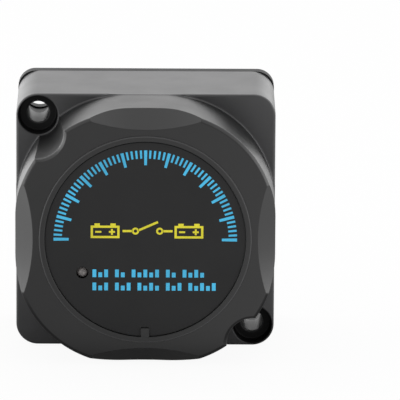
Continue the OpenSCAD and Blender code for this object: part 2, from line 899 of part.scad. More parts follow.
module circuit_board() {
    color([0.1, 0.36, 0.2]) stand() difference() {
        rod(board_r, board_rear, board_front);
        rod(board_bore_r, 0, face_h);
        at_board_screws() rod(board_screw_r + fit, 0, face_h);
        at_studs() translate([strap_x + strap_t / 2, 0])
            slab(strap_t + 2 * fit, strap_w + 2 * fit, 0, face_h);
        for (y = [-1, 1]) translate([pin_x, y * pin_y]) rod(pin_r + snug, 0, face_h);
        translate([-led_left, -led_down]) for (x = [-1, 1]) translate([x * lead_pitch / 2, 0])
            rod(lead_r + snug, 0, face_h);
        translate([part_x, -cap_drop]) for (x = [-1, 1]) translate([x * lead_pitch / 2, 0])
            rod(lead_r + snug, 0, face_h);
    }
}

module board_screws() {
    color([0.7, 0.7, 0.72]) stand() at_board_screws() translate([0, 0, board_rear])
        pan_screw(board_head_r, board_head_t, board_screw_r, board_screw_l);
}

// Moulded chip on the board's rear side, with leads along both long edges
module chip(x, y, height, lead_count, lead_w) {
    reach = 1.2 * lead_w;
    translate([0, 0, board_rear - height]) {
        slab(x, y, 0, 0.94 * height);
        for (side_y = [-1, 1], k = [0 : lead_count - 1])
            translate([(k - (lead_count - 1) / 2) * 2 * lead_w, side_y * (y / 2 + reach / 2)]) {
                slab(lead_w, reach, 0.4 * height, 0.6 * height);
                translate([0, side_y * reach / 2]) slab(lead_w, reach / 2, 0.4 * height, height);
            }
    }
}

module controller_chip() {
    color([0.1, 0.1, 0.11]) stand() translate([part_x, 0]) chip(chip_x, chip_y, chip_h, 4, chip_lead_w);
}

module driver_transistor() {
    color([0.12, 0.12, 0.13]) stand() translate([-part_x, 0]) {
        slab(transistor_x, transistor_y, board_rear - transistor_h, board_rear - transistor_h / 8);
        translate([0, transistor_y / 2])
            slab(0.8 * transistor_x, transistor_y / 2, board_rear - transistor_h / 5, board_rear);
        for (x = [-1, 1]) translate([x * transistor_x / 3, -transistor_y * 0.7])
            slab(transistor_x / 8, transistor_y / 2, board_rear - transistor_h / 5, board_rear);
    }
}

// Block with a bent tab at each end, as the two-lead power parts have
module tabbed_block(x, y, height) {
    tab = x / 8;
    slab(x, y, board_rear - height, board_rear - tab / 4);
    for (end = [-1, 1]) translate([end * (x + tab) / 2, 0])
        slab(tab, 0.6 * y, board_rear - height / 2, board_rear);
}

module flyback_diode() {
    color([0.13, 0.13, 0.14]) stand() translate([-part_x, -diode_share * board_r])
        tabbed_block(diode_x, diode_y, diode_h);
}

module surge_suppressor() {
    color([0.15, 0.15, 0.16]) stand() translate([-part_x, suppressor_share * board_r])
        tabbed_block(diode_x, 1.3 * diode_y, diode_h);
}

module smoothing_capacitor() {
    color([0.1, 0.12, 0.3]) stand() translate([part_x, -cap_drop]) {
        rod(cap_r, board_rear - cap_l, board_rear);
        for (x = [-1, 1]) translate([x * lead_pitch / 2, 0])
            rod(lead_r, board_rear - cap_l / 2, board_front + lead_r);
    }
}

// Row of chip parts below the board's rear side
module chip_row(count, x, y, height) {
    for (k = [0 : count - 1]) translate([(k - (count - 1) / 2) * 1.6 * y, 0])
        slab(y, x, board_rear - height, board_rear);
}

module chip_resistors() {
    for (share = chip_resistor_shares)
        color([0.15, 0.15, 0.16]) stand() translate([part_x, share * board_r])
            chip_row(row_count, resistor_x, resistor_y, resistor_h);
}

module chip_capacitors() {
    color([0.55, 0.42, 0.3]) stand() translate([-part_x, chip_capacitor_share * board_r])
        chip_row(row_count, resistor_x, resistor_y, 1.6 * resistor_h);
}

housing();
label_disc();
status_led();
led_leads();
base();
terminal_studs();
jam_nuts();
terminal_washers();
terminal_nuts();
stud_seals();
earth_grommet();
case_screws();
yoke_screws();
yoke_frame();
yoke_cap();
fixed_core();
guide_sleeve();
coil_bobbin();
coil_winding();
coil_tape();
coil_pins();
plunger();
push_rod();
carrier_bush();
spring_cup();
e_clip();
return_spring();
contact_bridge();
bridge_tips();
contact_spring();
post_tips();
sense_straps();
circuit_board();
board_screws();
controller_chip();
driver_transistor();
flyback_diode();
surge_suppressor();
smoothing_capacitor();
chip_resistors();
chip_capacitors();
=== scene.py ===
import json
import math

import bmesh
import bpy
from mathutils import Matrix, Vector


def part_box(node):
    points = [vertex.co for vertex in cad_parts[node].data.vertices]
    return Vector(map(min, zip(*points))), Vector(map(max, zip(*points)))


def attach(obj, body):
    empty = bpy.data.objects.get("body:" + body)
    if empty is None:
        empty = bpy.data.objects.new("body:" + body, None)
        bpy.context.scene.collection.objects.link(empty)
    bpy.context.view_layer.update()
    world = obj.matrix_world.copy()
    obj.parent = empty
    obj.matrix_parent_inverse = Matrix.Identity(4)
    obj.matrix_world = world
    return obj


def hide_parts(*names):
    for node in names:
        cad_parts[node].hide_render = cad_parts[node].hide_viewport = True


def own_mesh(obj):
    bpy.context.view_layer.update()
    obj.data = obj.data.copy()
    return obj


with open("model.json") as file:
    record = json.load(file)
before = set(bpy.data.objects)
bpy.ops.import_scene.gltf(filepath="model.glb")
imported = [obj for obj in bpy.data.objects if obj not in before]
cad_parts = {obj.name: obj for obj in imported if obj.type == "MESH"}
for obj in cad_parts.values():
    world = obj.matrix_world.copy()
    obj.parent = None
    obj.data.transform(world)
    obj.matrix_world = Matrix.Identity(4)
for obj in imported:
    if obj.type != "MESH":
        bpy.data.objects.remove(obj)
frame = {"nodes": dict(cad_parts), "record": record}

bl_info = {
    "name": "Battery isolator relay",
    "version": (1, 0, 0),
    "blender": (4, 5, 0),
    "location": "View3D > Sidebar > Relay",
    "description": "Dresses the relay's pieces and sets its studio",
    "category": "Object",
}

MM = 0.001
# Steps round a large turned piece
TURN_STEPS = 160
# Vertices nearer than this are merged
TINY = 0.002 * MM
# Cuts run past the faces that they open by this much
OVER = 1 * MM
CASE_LOW, CASE_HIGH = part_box("housing")
LABEL_LOW, LABEL_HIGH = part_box("label_disc")
LED_LOW, LED_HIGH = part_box("status_led")
BASE_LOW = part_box("base")[0]
STUD_LOW, STUD_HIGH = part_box("terminal_studs")
RETURN_LOW, RETURN_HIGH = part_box("return_spring")
CONTACT_LOW, CONTACT_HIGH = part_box("contact_spring")
TRAVEL, BRIDGE_TRAVEL = (joint["range_m"][1] for joint in frame["record"]["behaviour"]["joints"])


def length(name, text, default):
    """A length that a user can change, in metres."""
    return bpy.props.FloatProperty(
        name=name, description=text, default=default, min=0, unit="LENGTH", subtype="DISTANCE", precision=5
    )


def colour(name, text, default):
    """A colour that a user can change."""
    return bpy.props.FloatVectorProperty(
        name=name, description=text, default=default, size=3, min=0, max=1, subtype="COLOR"
    )


def share(name, text, default):
    """A number from 0 to 1 that a user can change."""
    return bpy.props.FloatProperty(
        name=name, description=text, default=default, min=0, max=1, subtype="FACTOR"
    )


def turn_by(name, text, degrees):
    """An angle that a user can change, kept in radians."""
    return bpy.props.FloatProperty(
        name=name, description=text, default=math.radians(degrees), unit="ROTATION", subtype="ANGLE",
        precision=4,
    )


def amount(name, text, default):
    """A plain number that a user can change."""
    return bpy.props.FloatProperty(name=name, description=text, default=default, min=0)


def count(name, text, default):
    """A whole number that a user can change."""
    return bpy.props.IntProperty(name=name, description=text, default=default, min=1)


class RelayCaseSizes(bpy.types.PropertyGroup):
    """Sizes of the moulded case, with depths counted from the mounting face."""

    half: length("Half side", "Half the side of the square case", CASE_HIGH.x)
    corner: length("Corner", "Radius of the square's corners", 5.8 * MM)
    rear: length("Rear edge", "Depth of the case's rear edge", -CASE_HIGH.y)
    shoulder: length("Shoulder", "Depth of the square shoulder", 30.8 * MM)
    face: length("Face", "Depth of the round front face", 51.6 * MM)
    wall: length("Wall", "Thickness of the case", 2.4 * MM)
    edge: length("Edge", "Rounding of the shoulder's edge", 0.7 * MM)
    front: length("Round front", "Half the width of the round front", 34.4 * MM)
    flat: length("Flat", "Half length of the round front's flats", 4.9 * MM)
    rim: length("Rim", "Chamfer of the round front's rim", 0.8 * MM)
    foot: length("Foot", "Fillet at the foot of the round front", 0.5 * MM)
    scoop_reach: length("Scoop reach", "How far a scoop reaches in over the face", 4.7 * MM)
    scoop_drop: length("Scoop drop", "How far a scoop runs down the round wall", 5.6 * MM)
    scoop_r: length("Scoop hollow", "Radius of a scoop's hollow", 62 * MM)
    lip_in: length("Lip, inside", "Inner radius of the raised lip", 26.55 * MM)
    lip_out: length("Lip, outside", "Outer radius of the raised lip", 28.1 * MM)
    lip_top: length("Lip's top", "Depth of the lip's top", -CASE_LOW.y)
    recess: length("Recess", "Depth of the label's recess", 51.1 * MM)
    key_width: length("Key width", "Width of the label's key", 2.2 * MM)
    key_length: length("Key length", "Length of the label's key", 2.4 * MM)
    bore: length("Driver bore", "Radius of the driver bore", 5.2 * MM)
    screw_hole: length("Screw hole", "Radius of the mounting screw's hole", 2.85 * MM)
    rear_bore: length("Rear bore", "Radius of the rear bore", 4.6 * MM)
    seat: length("Seat", "Depth of the screw head's seat", 27 * MM)
    web: length("Web", "Thickness of the web under the screw head", 11 * MM)
    notch_foot: length("Notch foot", "Radius of the notch at its foot", 5.6 * MM)
    notch_face: length("Notch face", "Radius of the notch at the face", 7.1 * MM)
    outlet: length("Outlet", "Radius of a cable outlet's round end", 6 * MM)
    outlet_depth: length("Outlet depth", "Depth of a cable outlet", 13 * MM)
    outlet_at: length("Outlet place", "A cable outlet's distance from the centre line", 13.4 * MM)
    pillar_wall: length("Pillar wall", "Wall of the screw pillars inside", 2 * MM)
    post_r: length("Post radius", "Radius of the board's posts", 2.5 * MM)
    post_l: length("Post length", "Length of the board's posts", 2.4 * MM)
    post_at: length("Post place", "A board post's distance from the centre", 25 * MM)
    pilot: length("Pilot hole", "Radius of a case screw's pilot hole", 1.5 * MM)
    pilot_end: length("Pilot's end", "Depth where a pilot hole ends", 18.4 * MM)


class RelayFrontSizes(bpy.types.PropertyGroup):
    """Sizes of the round label and the status light."""

    label_r: length("Label", "Radius of the label", LABEL_HIGH.x)
    rear: length("Label's back", "Depth of the label's rear face", -LABEL_HIGH.y)
    front: length("Label's face", "Depth of the label's front face", -LABEL_LOW.y)
    fit: length("Gap", "Gap round the key", 0.2 * MM)
    ink: length("Ink", "Thickness of the print", 0.02 * MM)
    light_r: length("Light", "Radius of the status light", 1.5 * MM)
    light_x: length("Light, left", "Status light's distance left of the centre", -(LED_LOW.x + LED_HIGH.x) / 2)
    light_y: length("Light, down", "Status light's distance below the centre", -(LED_LOW.z + LED_HIGH.z) / 2)
    light_rim: length("Light's rim", "Thickness of the status light's flange", 0.75 * MM)


class RelayPrintSizes(bpy.types.PropertyGroup):
    """Places and sizes of the label's print, counted from its centre."""

    blue: colour("Blue ink", "Colour of the print's scale and lines", (0.07, 0.5, 0.8))
    yellow: colour("Yellow ink", "Colour of the print's symbols", (0.78, 0.7, 0.035))
    marks: count("Marks", "Number of marks on the scale", 61)
    every: count("Long marks", "Steps from one long mark to the next", 5)
    scale_r: length("Scale", "Outer radius of the scale", 24.2 * MM)
    short_mark: length("Short mark", "Length of a short mark", 2.2 * MM)
    long_mark: length("Long mark", "Length of a long mark", 4 * MM)
    short_turn: turn_by("Short mark's width", "Width of a short mark as an angle", 1.35)
    long_turn: turn_by("Long mark's width", "Width of a long mark as an angle", 2)
    row_x: length("Rows, left", "How far left the rows of strokes start", 13.9 * MM)
    row_y: length("Rows, down", "How far down the first row stands", 10.3 * MM)
    row_gap: length("Row gap", "Distance from one row to the next", 3.6 * MM)
    stroke: length("Stroke", "Width of a stroke", 1 * MM)
    stroke_gap: length("Stroke gap", "Distance from one stroke to the next", 1.55 * MM)
    group_gap: length("Group gap", "Extra distance between two groups of strokes", 1.3 * MM)
    tall: length("Tall stroke", "Height of a tall stroke", 2.1 * MM)
    low: length("Low stroke", "Height of a low stroke", 1.3 * MM)
    line: length("Line", "Width of the signs' lines", 0.6 * MM)
    sign_y: length("Signs, up", "How far up the signs stand", 0.35 * MM)
    battery_w: length("Battery width", "Width of a battery sign", 7.6 * MM)
    battery_h: length("Battery height", "Height of a battery sign without its poles", 3.4 * MM)
    left_x: length("Left battery", "How far left the left battery sign starts", 14.4 * MM)
    right_x: length("Right battery", "How far right the right battery sign starts", 7.7 * MM)
    pole: length("Pole", "Width of a battery sign's pole", 1.4 * MM)
    pole_in: length("Pole place", "A pole's distance from the battery sign's end", 1 * MM)
    symbol: length("Symbol", "Width of the plus and minus", 1.6 * MM)
    symbol_in: length("Symbol place", "A symbol's distance from the battery sign's end", 1.2 * MM)
    thin: length("Thin line", "Width of the thin lines", 0.5 * MM)
    switch_x: length("Switch", "How far right the switch sign's middle stands", 0.6 * MM)
    switch_y: length("Switch, up", "How far up the switch sign's leads stand", 2 * MM)
    lead: length("Lead", "Length of the switch sign's leads", 2.6 * MM)
    contact_r: length("Contact", "Outer radius of the switch sign's contacts", 0.95 * MM)
    contact_at: length("Contact place", "A contact's distance from the switch sign's middle", 3.2 * MM)
    lever: length("Lever", "Length of the switch sign's lever", 5.6 * MM)
    lever_turn: turn_by("Lever's turn", "Opening of the lever", 24)


class RelayMetalSizes(bpy.types.PropertyGroup):
    """Sizes of the threaded studs and the two springs."""

    stud_r: length("Stud", "Radius of a stud", 4 * MM)
    stud_at: length("Stud place", "A stud's distance from the centre", 21 * MM)
    pitch: length("Pitch", "Pitch of the studs' thread", 1.25 * MM)
    tooth: length("Tooth", "Depth of the thread", 0.62 * MM)
    bevel: length("Bevel", "Bevel of the stud's end", 0.6 * MM)
    thread_end: length("Thread end", "Depth where the thread ends", 16 * MM)
    collar: length("Collar", "Depth of the post's collar", 19.4 * MM)
    collar_t: length("Collar thickness", "Thickness of the post's collar", 2.4 * MM)
    collar_r: length("Collar radius", "Radius of the post's collar", 7.2 * MM)
    post_r: length("Post", "Radius of a contact post", 6 * MM)
    return_wire: length("Return wire", "Radius of the return spring's wire", 0.3 * MM)
    contact_wire: length("Contact wire", "Radius of the contact spring's wire", 0.35 * MM)
    return_turns: amount("Return turns", "Turns of the return spring", 6)
    contact_turns: amount("Contact turns", "Turns of the contact spring", 2.5)


class RelayFinish(bpy.types.PropertyGroup):
    """Colours and gloss of the finishes."""

    case_black: colour("Case", "Colour of the moulded case", (0.0055, 0.0055, 0.0057))
    base_black: colour("Base", "Colour of the rear moulding", (0.006, 0.006, 0.0065))
    label_black: colour("Label", "Colour of the label", (0.0085, 0.0085, 0.0088))
    resin: colour("Resin", "Colour of the status light", (0.2, 0.185, 0.18))
    # Painted light: how many times paler the square shoulder is drawn
    shoulder_light_gain: amount("Shoulder", "How much paler the square shoulder is", 7)
    case_roughness: share("Case roughness", "Roughness of the moulded case", 0.36)
    grain: length("Grain", "Size of the moulded grain", 0.35 * MM)


class RelayStage(bpy.types.PropertyGroup):
    """The view of the photograph, the lamps and what polished faces mirror."""

    rise: turn_by("Rise", "How far the camera looks down", 14.17)
    swing: turn_by("Swing", "How far the camera stands left of the front", 0.426)
    roll: turn_by("Roll", "How far the picture leans", -0.375)
    distance: length("Distance", "Distance from the camera to the face", 1640.7 * MM)
    focal: length("Focal length", "Focal length for a 36 mm sensor", 559.98 * MM)
    aim_right: length("Aim, right", "How far right of the face's centre the camera aims", 14.43 * MM)
    aim_up: length("Aim, up", "How far above the face's centre the camera aims", 10.47 * MM)
    left_lamp: amount("Left lamp", "Power of the left lamp in watts", 1.6)
    right_lamp: amount("Right lamp", "Power of the right lamp in watts", 1.2)
    top_lamp: amount("Top lamp", "Power of the top lamp in watts", 1.2)
    room: amount("Room", "Light that the room gives to dull faces", 0.85)
    mirror_front: amount("Mirrored front", "What polished faces mirror in front", 0.75)
    mirror_back: amount("Mirrored back", "What polished faces mirror behind", 1.85)
    floor_white: share("Floor", "How much of the floor is plain white to the eye", 0.93)


# Mesh helpers: pieces are drawn lying on the mounting face, with depth along Z


def soften(outline, radius, steps=4, closed=False):
    """The outline with each corner rounded, except the two free ends of an open one."""
    soft = []
    last = len(outline) - 1
    for i, point in enumerate(outline):
        corner = Vector(point)
        if not closed and i in (0, last):
            soft.append(corner)
            continue
        before = Vector(outline[i - 1]) - corner
        after = Vector(outline[(i + 1) % len(outline)]) - corner
        reach = min(radius, before.length / 2, after.length / 2)
        start = corner + before.normalized() * reach
        end = corner + after.normalized() * reach
        for k in range(steps + 1):
            t = k / steps
            soft.append(start.lerp(corner, t).lerp(corner.lerp(end, t), t))
    return soft


def arc(centre, radius, start, end, steps=12):
    """Points along an arc, with its angles in degrees."""
    angles = [math.radians(start + (end - start) * k / steps) for k in range(steps + 1)]
    return [(centre[0] + radius * math.cos(a), centre[1] + radius * math.sin(a)) for a in angles]


def tidied(part):
    """The part with its doubles merged and its faces pointing outwards."""
    bmesh.ops.remove_doubles(part, verts=part.verts, dist=TINY)
    bmesh.ops.recalc_face_normals(part, faces=part.faces)
    return part


def turned(outline, closed=False, steps=TURN_STEPS):
    """Turns an outline of radii and depths round the depth axis."""
    part = bmesh.new()
    verts = [part.verts.new((r, 0, depth)) for r, depth in outline]
    pairs = list(zip(verts, verts[1:] + verts[:1]))
    edges = [part.edges.new(pair) for pair in (pairs if closed else pairs[:-1])]
    bmesh.ops.spin(
        part, geom=verts + edges, cent=(0, 0, 0), axis=(0, 0, 1), angle=math.tau, steps=steps,
        use_merge=True, use_duplicate=False,
    )
    return tidied(part)


def rod(radius, low, high, steps=TURN_STEPS):
    """A cylinder between two depths."""
    return turned([(0, low), (radius, low), (radius, high), (0, high)], steps=steps)


def prism(outline, low, high):
    """A flat outline pushed from one depth to another."""
    part = bmesh.new()
    face = part.faces.new([part.verts.new((x, y, low)) for x, y in outline])
    pushed = bmesh.ops.extrude_face_region(part, geom=[face])["geom"]
    verts = [v for v in pushed if isinstance(v, bmesh.types.BMVert)]
    bmesh.ops.translate(part, verts=verts, vec=(0, 0, high - low))
    return tidied(part)


def slab(width, height, low, high):
    """A box centred on the depth axis."""
    x, y = width / 2, height / 2
    return prism([(-x, -y), (x, -y), (x, y), (-x, y)], low, high)


def rounded_block(half, corner, low, high, edge, segments=14):
    """A square block with round corners and a rounded front edge."""
    part = slab(2 * half, 2 * half, low, high)
    upright = [e for e in part.edges if abs(e.verts[0].co.z - e.verts[1].co.z) > TINY]
    bmesh.ops.bevel(
        part, geom=upright, offset=corner, offset_type="OFFSET", segments=segments,
        profile=0.5, affect="EDGES", material=-1,
    )
    if edge:
        front = [e for e in part.edges if all(v.co.z > high - TINY for v in e.verts)]
        bmesh.ops.bevel(
            part, geom=front, offset=edge, offset_type="OFFSET", segments=5,
            profile=0.5, affect="EDGES", material=-1,
        )
    return tidied(part)


def square_ring(half, radius, depth, steps=40):
    """A square with round corners at one depth, as points."""
    ring = []
    for quarter in range(4):
        centre = Matrix.Rotation(quarter * math.pi / 2, 2) @ Vector((half - radius, half - radius))
        corner = arc(centre, radius, 90 * quarter, 90 * quarter + 90, steps)
        ring += [(x, y, depth) for x, y in corner]
    return ring


def lofted(rings):
    """A solid whose wall runs through the rings, closed at both ends."""
    part = bmesh.new()
    loops = [[part.verts.new(point) for point in ring] for ring in rings]
    for low, high in zip(loops, loops[1:]):
        for i in range(len(low)):
            part.faces.new((low[i - 1], low[i], high[i], high[i - 1]))
    part.faces.new(loops[0])
    part.faces.new(loops[-1])
    return tidied(part)


def threaded(radius, pitch, tooth, low, high, bevel, sides=48, per_turn=12):
    """A threaded bar between two depths, with a bevel at its low end."""
    rings = []
    last = round((high - low) / pitch * per_turn)
    for k in range(last + 1):
        depth = low + (high - low) * k / last
        ring = []
        for j in range(sides):
            phase = ((depth - low) / pitch - j / sides) % 1
            cut = tooth * min(1, max(0, 1.25 - 2.5 * abs(phase - 0.5)))
            r = min(radius - cut, radius - bevel + (depth - low))
            ring.append((r * math.cos(math.tau * j / sides), r * math.sin(math.tau * j / sides), depth))
        rings.append(ring)
    return lofted(rings)


def coil(mean_r, wire_r, low, high, turns, sides=10, per_turn=36):
    """Round wire wound between two depths."""
    ring = [(mean_r + x, low + wire_r + y) for x, y in arc((0, 0), wire_r, 0, 360, sides)[:-1]]
    part = bmesh.new()
    verts = [part.verts.new((r, 0, depth)) for r, depth in ring]
    face = part.faces.new(verts)
    steps = round(turns * per_turn)
    rise = (high - low - 2 * wire_r) / steps
    bmesh.ops.spin(
        part, geom=[face], cent=(0, 0, 0), axis=(0, 0, 1), dvec=(0, 0, rise),
        angle=math.tau * turns, steps=steps, use_merge=False, use_duplicate=False,
    )
    return tidied(part)


def placed(part, x=0.0, y=0.0, depth=0.0, turn=0.0):
    """The part moved, then turned about the depth axis by an angle in degrees."""
    bmesh.ops.translate(part, verts=part.verts, vec=(x, y, depth))
    bmesh.ops.rotate(
        part, verts=part.verts, cent=(0, 0, 0), matrix=Matrix.Rotation(math.radians(turn), 3, "Z")
    )
    return part


def gathered(parts):
    """One mesh of several, which are used up."""
    whole = bmesh.new()
    for part in parts:
        sheet = bpy.data.meshes.new("scratch")
        part.to_mesh(sheet)
        part.free()
        whole.from_mesh(sheet)
        bpy.data.meshes.remove(sheet)
    return whole


def scratch_object(part):
    """A hidden object that holds the part while it is joined or cut."""
    mesh = bpy.data.meshes.new("scratch")
    part.to_mesh(mesh)
    part.free()
    holder = bpy.data.objects.new("scratch", mesh)
    bpy.context.scene.collection.objects.link(holder)
    return holder


def combined(part, tool, operation):
    """Two closed solids joined, cut or crossed, both used up."""
    holder, cutter = scratch_object(part), scratch_object(tool)
    step = holder.modifiers.new("combine", "BOOLEAN")
    step.operation = operation
    step.solver = "EXACT"
    step.object = cutter
    made = bmesh.new()
    made.from_object(holder, bpy.context.evaluated_depsgraph_get())
    for spent in (holder, cutter):
        mesh = spent.data
        bpy.data.objects.remove(spent)
        bpy.data.meshes.remove(mesh)
    if not made.faces:
        raise RuntimeError(f"{operation} left nothing")
    bmesh.ops.remove_doubles(made, verts=made.verts, dist=TINY)
    bmesh.ops.dissolve_degenerate(made, dist=TINY, edges=made.edges)
    return made


def standing(part, name, finish, body, replaces=(), fair=True):
    """Stands the part up and makes it a piece that rides on a body, with flat faces shaded flat."""
    bmesh.ops.rotate(
        part, verts=part.verts, cent=(0, 0, 0), matrix=Matrix.Rotation(math.pi / 2, 3, "X")
    )
    mesh = bpy.data.meshes.new(name)
    part.to_mesh(mesh)
    part.free()
    mesh.shade_smooth()
    mesh.set_sharp_from_angle(angle=math.radians(32))
    mesh.materials.append(finish)
    piece = bpy.data.objects.new(name, mesh)
    bpy.context.scene.collection.objects.link(piece)
    if fair:
        step = piece.modifiers.new("fair_normals", "WEIGHTED_NORMAL")
        step.keep_sharp = True
        step.weight = 90
    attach(piece, body)
    if replaces:
        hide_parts(*replaces)
    return piece


# Finishes


def node_tree(name):
    """A new finish with its shader and Object coordinates."""
    finish = bpy.data.materials.new(name)
    finish.use_nodes = True
    nodes = finish.node_tree.nodes
    shader = nodes["Principled BSDF"]
    place = nodes.new("ShaderNodeTexCoord")
    return finish, nodes, finish.node_tree.links, shader, place.outputs["Object"]


def math_node(nodes, links, operation, *values):
    """A Math node whose inputs are numbers or other nodes' outputs."""
    step = nodes.new("ShaderNodeMath")
    step.operation = operation
    for socket, value in zip(step.inputs, values):
        if isinstance(value, (int, float)):
            socket.default_value = value
        else:
            links.new(value, socket)
    return step.outputs[0]


def ramp(nodes, links, value, start, end, low, high):
    """Numbers that go from low to high while the value goes from start to end."""
    ranged = nodes.new("ShaderNodeMapRange")
    ranged.interpolation_type = "SMOOTHSTEP"
    for name, number in (("From Min", start), ("From Max", end), ("To Min", low), ("To Max", high)):
        ranged.inputs[name].default_value = number
    links.new(value, ranged.inputs["Value"])
    return ranged.outputs["Result"]


def noise(nodes, links, place, size, detail=2.0, stretch=(1, 1, 1)):
    """Noise whose features are about as large as size."""
    mapping = nodes.new("ShaderNodeMapping")
    mapping.inputs["Scale"].default_value = stretch
    links.new(place, mapping.inputs["Vector"])
    texture = nodes.new("ShaderNodeTexNoise")
    texture.inputs["Scale"].default_value = 1 / size
    texture.inputs["Detail"].default_value = detail
    links.new(mapping.outputs["Vector"], texture.inputs["Vector"])
    return texture.outputs["Fac"]


def spread(nodes, links, value, low, high):
    """The noise's middle stretched over a range."""
    ranged = nodes.new("ShaderNodeMapRange")
    ranged.inputs["From Min"].default_value = 0.3
    ranged.inputs["From Max"].default_value = 0.7
    ranged.inputs["To Min"].default_value = low
    ranged.inputs["To Max"].default_value = high
    links.new(value, ranged.inputs["Value"])
    return ranged.outputs["Result"]


def mottled(nodes, links, value, base, amount):
    """A colour that drifts round its base by a small amount."""
    mix = nodes.new("ShaderNodeMix")
    mix.data_type = "RGBA"
    mix.inputs["A"].default_value = (*[c * (1 - amount) for c in base], 1)
    mix.inputs["B"].default_value = (*[min(1, c * (1 + amount)) for c in base], 1)
    links.new(spread(nodes, links, value, 0, 1), mix.inputs["Factor"])
    return mix.outputs["Result"]


def surface(nodes, links, shader, height, depth, edge=0.0):
    """Bump of a given depth, over softened edges."""
    bump = nodes.new("ShaderNodeBump")
    bump.inputs["Distance"].default_value = depth
    links.new(height, bump.inputs["Height"])
    if edge:
        soft = nodes.new("ShaderNodeBevel")
        soft.samples = 6
        soft.inputs["Radius"].default_value = edge
        links.new(soft.outputs["Normal"], bump.inputs["Normal"])
    links.new(bump.outputs["Normal"], shader.inputs["Normal"])


def moulded(name, base, roughness, grain, depth, level=0.5, edge=0.12 * MM, mottle=0.12):
    """Moulded plastic or rubber with a fine grain."""
    finish, nodes, links, shader, place = node_tree(name)
    fine = noise(nodes, links, place, grain, 3)
    broad = noise(nodes, links, place, 9 * MM, 3)
    links.new(mottled(nodes, links, broad, base, mottle), shader.inputs["Base Color"])
    links.new(
        spread(nodes, links, broad, roughness * 0.92, roughness * 1.08), shader.inputs["Roughness"]
    )
    shader.inputs["Specular IOR Level"].default_value = level
    surface(nodes, links, shader, fine, depth, edge)
    return finish


def metal(name, base, roughness, drawn=(1, 1, 1), size=0.5 * MM, depth=0.004 * MM, edge=0.1 * MM):
    """Metal whose fine marks run the way that it was drawn, turned or rolled."""
    finish, nodes, links, shader, place = node_tree(name)
    marks = noise(nodes, links, place, size, 4, drawn)
    broad = noise(nodes, links, place, 6 * MM, 2)
    links.new(mottled(nodes, links, broad, base, 0.08), shader.inputs["Base Color"])
    links.new(
        spread(nodes, links, marks, roughness * 0.8, roughness * 1.25), shader.inputs["Roughness"]
    )
    shader.inputs["Metallic"].default_value = 1
    surface(nodes, links, shader, marks, depth, edge)
    return finish


def case_plastic(colours, sizes):
    """Satin black moulding of the case, with painted light making the shoulder paler and painted shade
    darkening the screw wells.
    """
    finish = moulded(
        "satin_case_black", colours.case_black, colours.case_roughness, colours.grain, 0.007 * MM,
        level=0.5, edge=0.22 * MM,
    )
    nodes, links = finish.node_tree.nodes, finish.node_tree.links
    shader = nodes["Principled BSDF"]
    place = nodes.new("ShaderNodeTexCoord").outputs["Object"]
    split = nodes.new("ShaderNodeSeparateXYZ")
    links.new(place, split.inputs[0])
    # Distance to the nearer of the two screw wells' axes
    nearest = None
    for x, z in pillar_places(sizes):
        across = math_node(nodes, links, "SUBTRACT", split.outputs["X"], x)
        up = math_node(nodes, links, "SUBTRACT", split.outputs["Z"], z)
        squares = math_node(
            nodes, links, "ADD", math_node(nodes, links, "POWER", across, 2),
            math_node(nodes, links, "POWER", up, 2),
        )
        far = math_node(nodes, links, "SQRT", squares)
        nearest = far if nearest is None else math_node(nodes, links, "MINIMUM", nearest, far)
    # Painted shade in the screw wells, between the screw hole and the bore: darker colour and weaker gloss
    outer = ramp(nodes, links, nearest, sizes.bore - 0.1 * MM, sizes.bore + 0.4 * MM, 1, 0)
    inner = ramp(nodes, links, nearest, sizes.screw_hole + 0.1 * MM, sizes.screw_hole + 0.4 * MM, 0, 1)
    painted_well_shade = math_node(nodes, links, "MULTIPLY", outer, inner)
    # Painted light: the shoulder and all behind it are drawn paler
    painted_shoulder_light = ramp(
        nodes, links, split.outputs["Y"], -sizes.shoulder - 1 * MM, -sizes.shoulder - 0.1 * MM, 1,
        colours.shoulder_light_gain,
    )
    level = math_node(nodes, links, "MULTIPLY_ADD", painted_well_shade, -0.42, 0.5)
    links.new(level, shader.inputs["Specular IOR Level"])
    tint = nodes.new("ShaderNodeVectorMath")
    tint.operation = "SCALE"
    links.new(shader.inputs["Base Color"].links[0].from_socket, tint.inputs[0])
    well_shade_scale = math_node(nodes, links, "MULTIPLY_ADD", painted_well_shade, -0.8, 1)
    links.new(math_node(nodes, links, "MULTIPLY", painted_shoulder_light, well_shade_scale), tint.inputs["Scale"])
    links.new(tint.outputs[0], shader.inputs["Base Color"])
    return finish


def lip_plastic(colours, sizes):
    """The case's moulding, with a painted highlight along the lip's outer edge."""
    finish = moulded(
        "lip_black_painted_highlight", colours.case_black, colours.case_roughness, colours.grain, 0.004 * MM,
        edge=0.1 * MM,
    )
    nodes, links = finish.node_tree.nodes, finish.node_tree.links
    shader = nodes["Principled BSDF"]
    place = nodes.new("ShaderNodeTexCoord").outputs["Object"]
    flat = nodes.new("ShaderNodeVectorMath")
    flat.operation = "MULTIPLY"
    flat.inputs[1].default_value = (1, 0, 1)
    links.new(place, flat.inputs[0])
    far = nodes.new("ShaderNodeVectorMath")
    far.operation = "LENGTH"
    links.new(flat.outputs[0], far.inputs[0])
    # Painted highlight: a paler ring just inside the lip's outer edge
    painted_lip_highlight = ramp(nodes, links, far.outputs["Value"], sizes.lip_out - 0.4 * MM, sizes.lip_out - 0.2 * MM, 0, 1)
    mix = nodes.new("ShaderNodeMix")
    mix.data_type = "RGBA"
    links.new(painted_lip_highlight, mix.inputs["Factor"])
    links.new(shader.inputs["Base Color"].links[0].from_socket, mix.inputs["A"])
    mix.inputs["B"].default_value = (0.045, 0.045, 0.046, 1)
    links.new(mix.outputs["Result"], shader.inputs["Base Color"])
    return finish


def base_plastic(colours):
    """Matte black moulding of the base."""
    return moulded("matte_base_black", colours.base_black, 0.55, 0.25 * MM, 0.006 * MM, level=0.25)


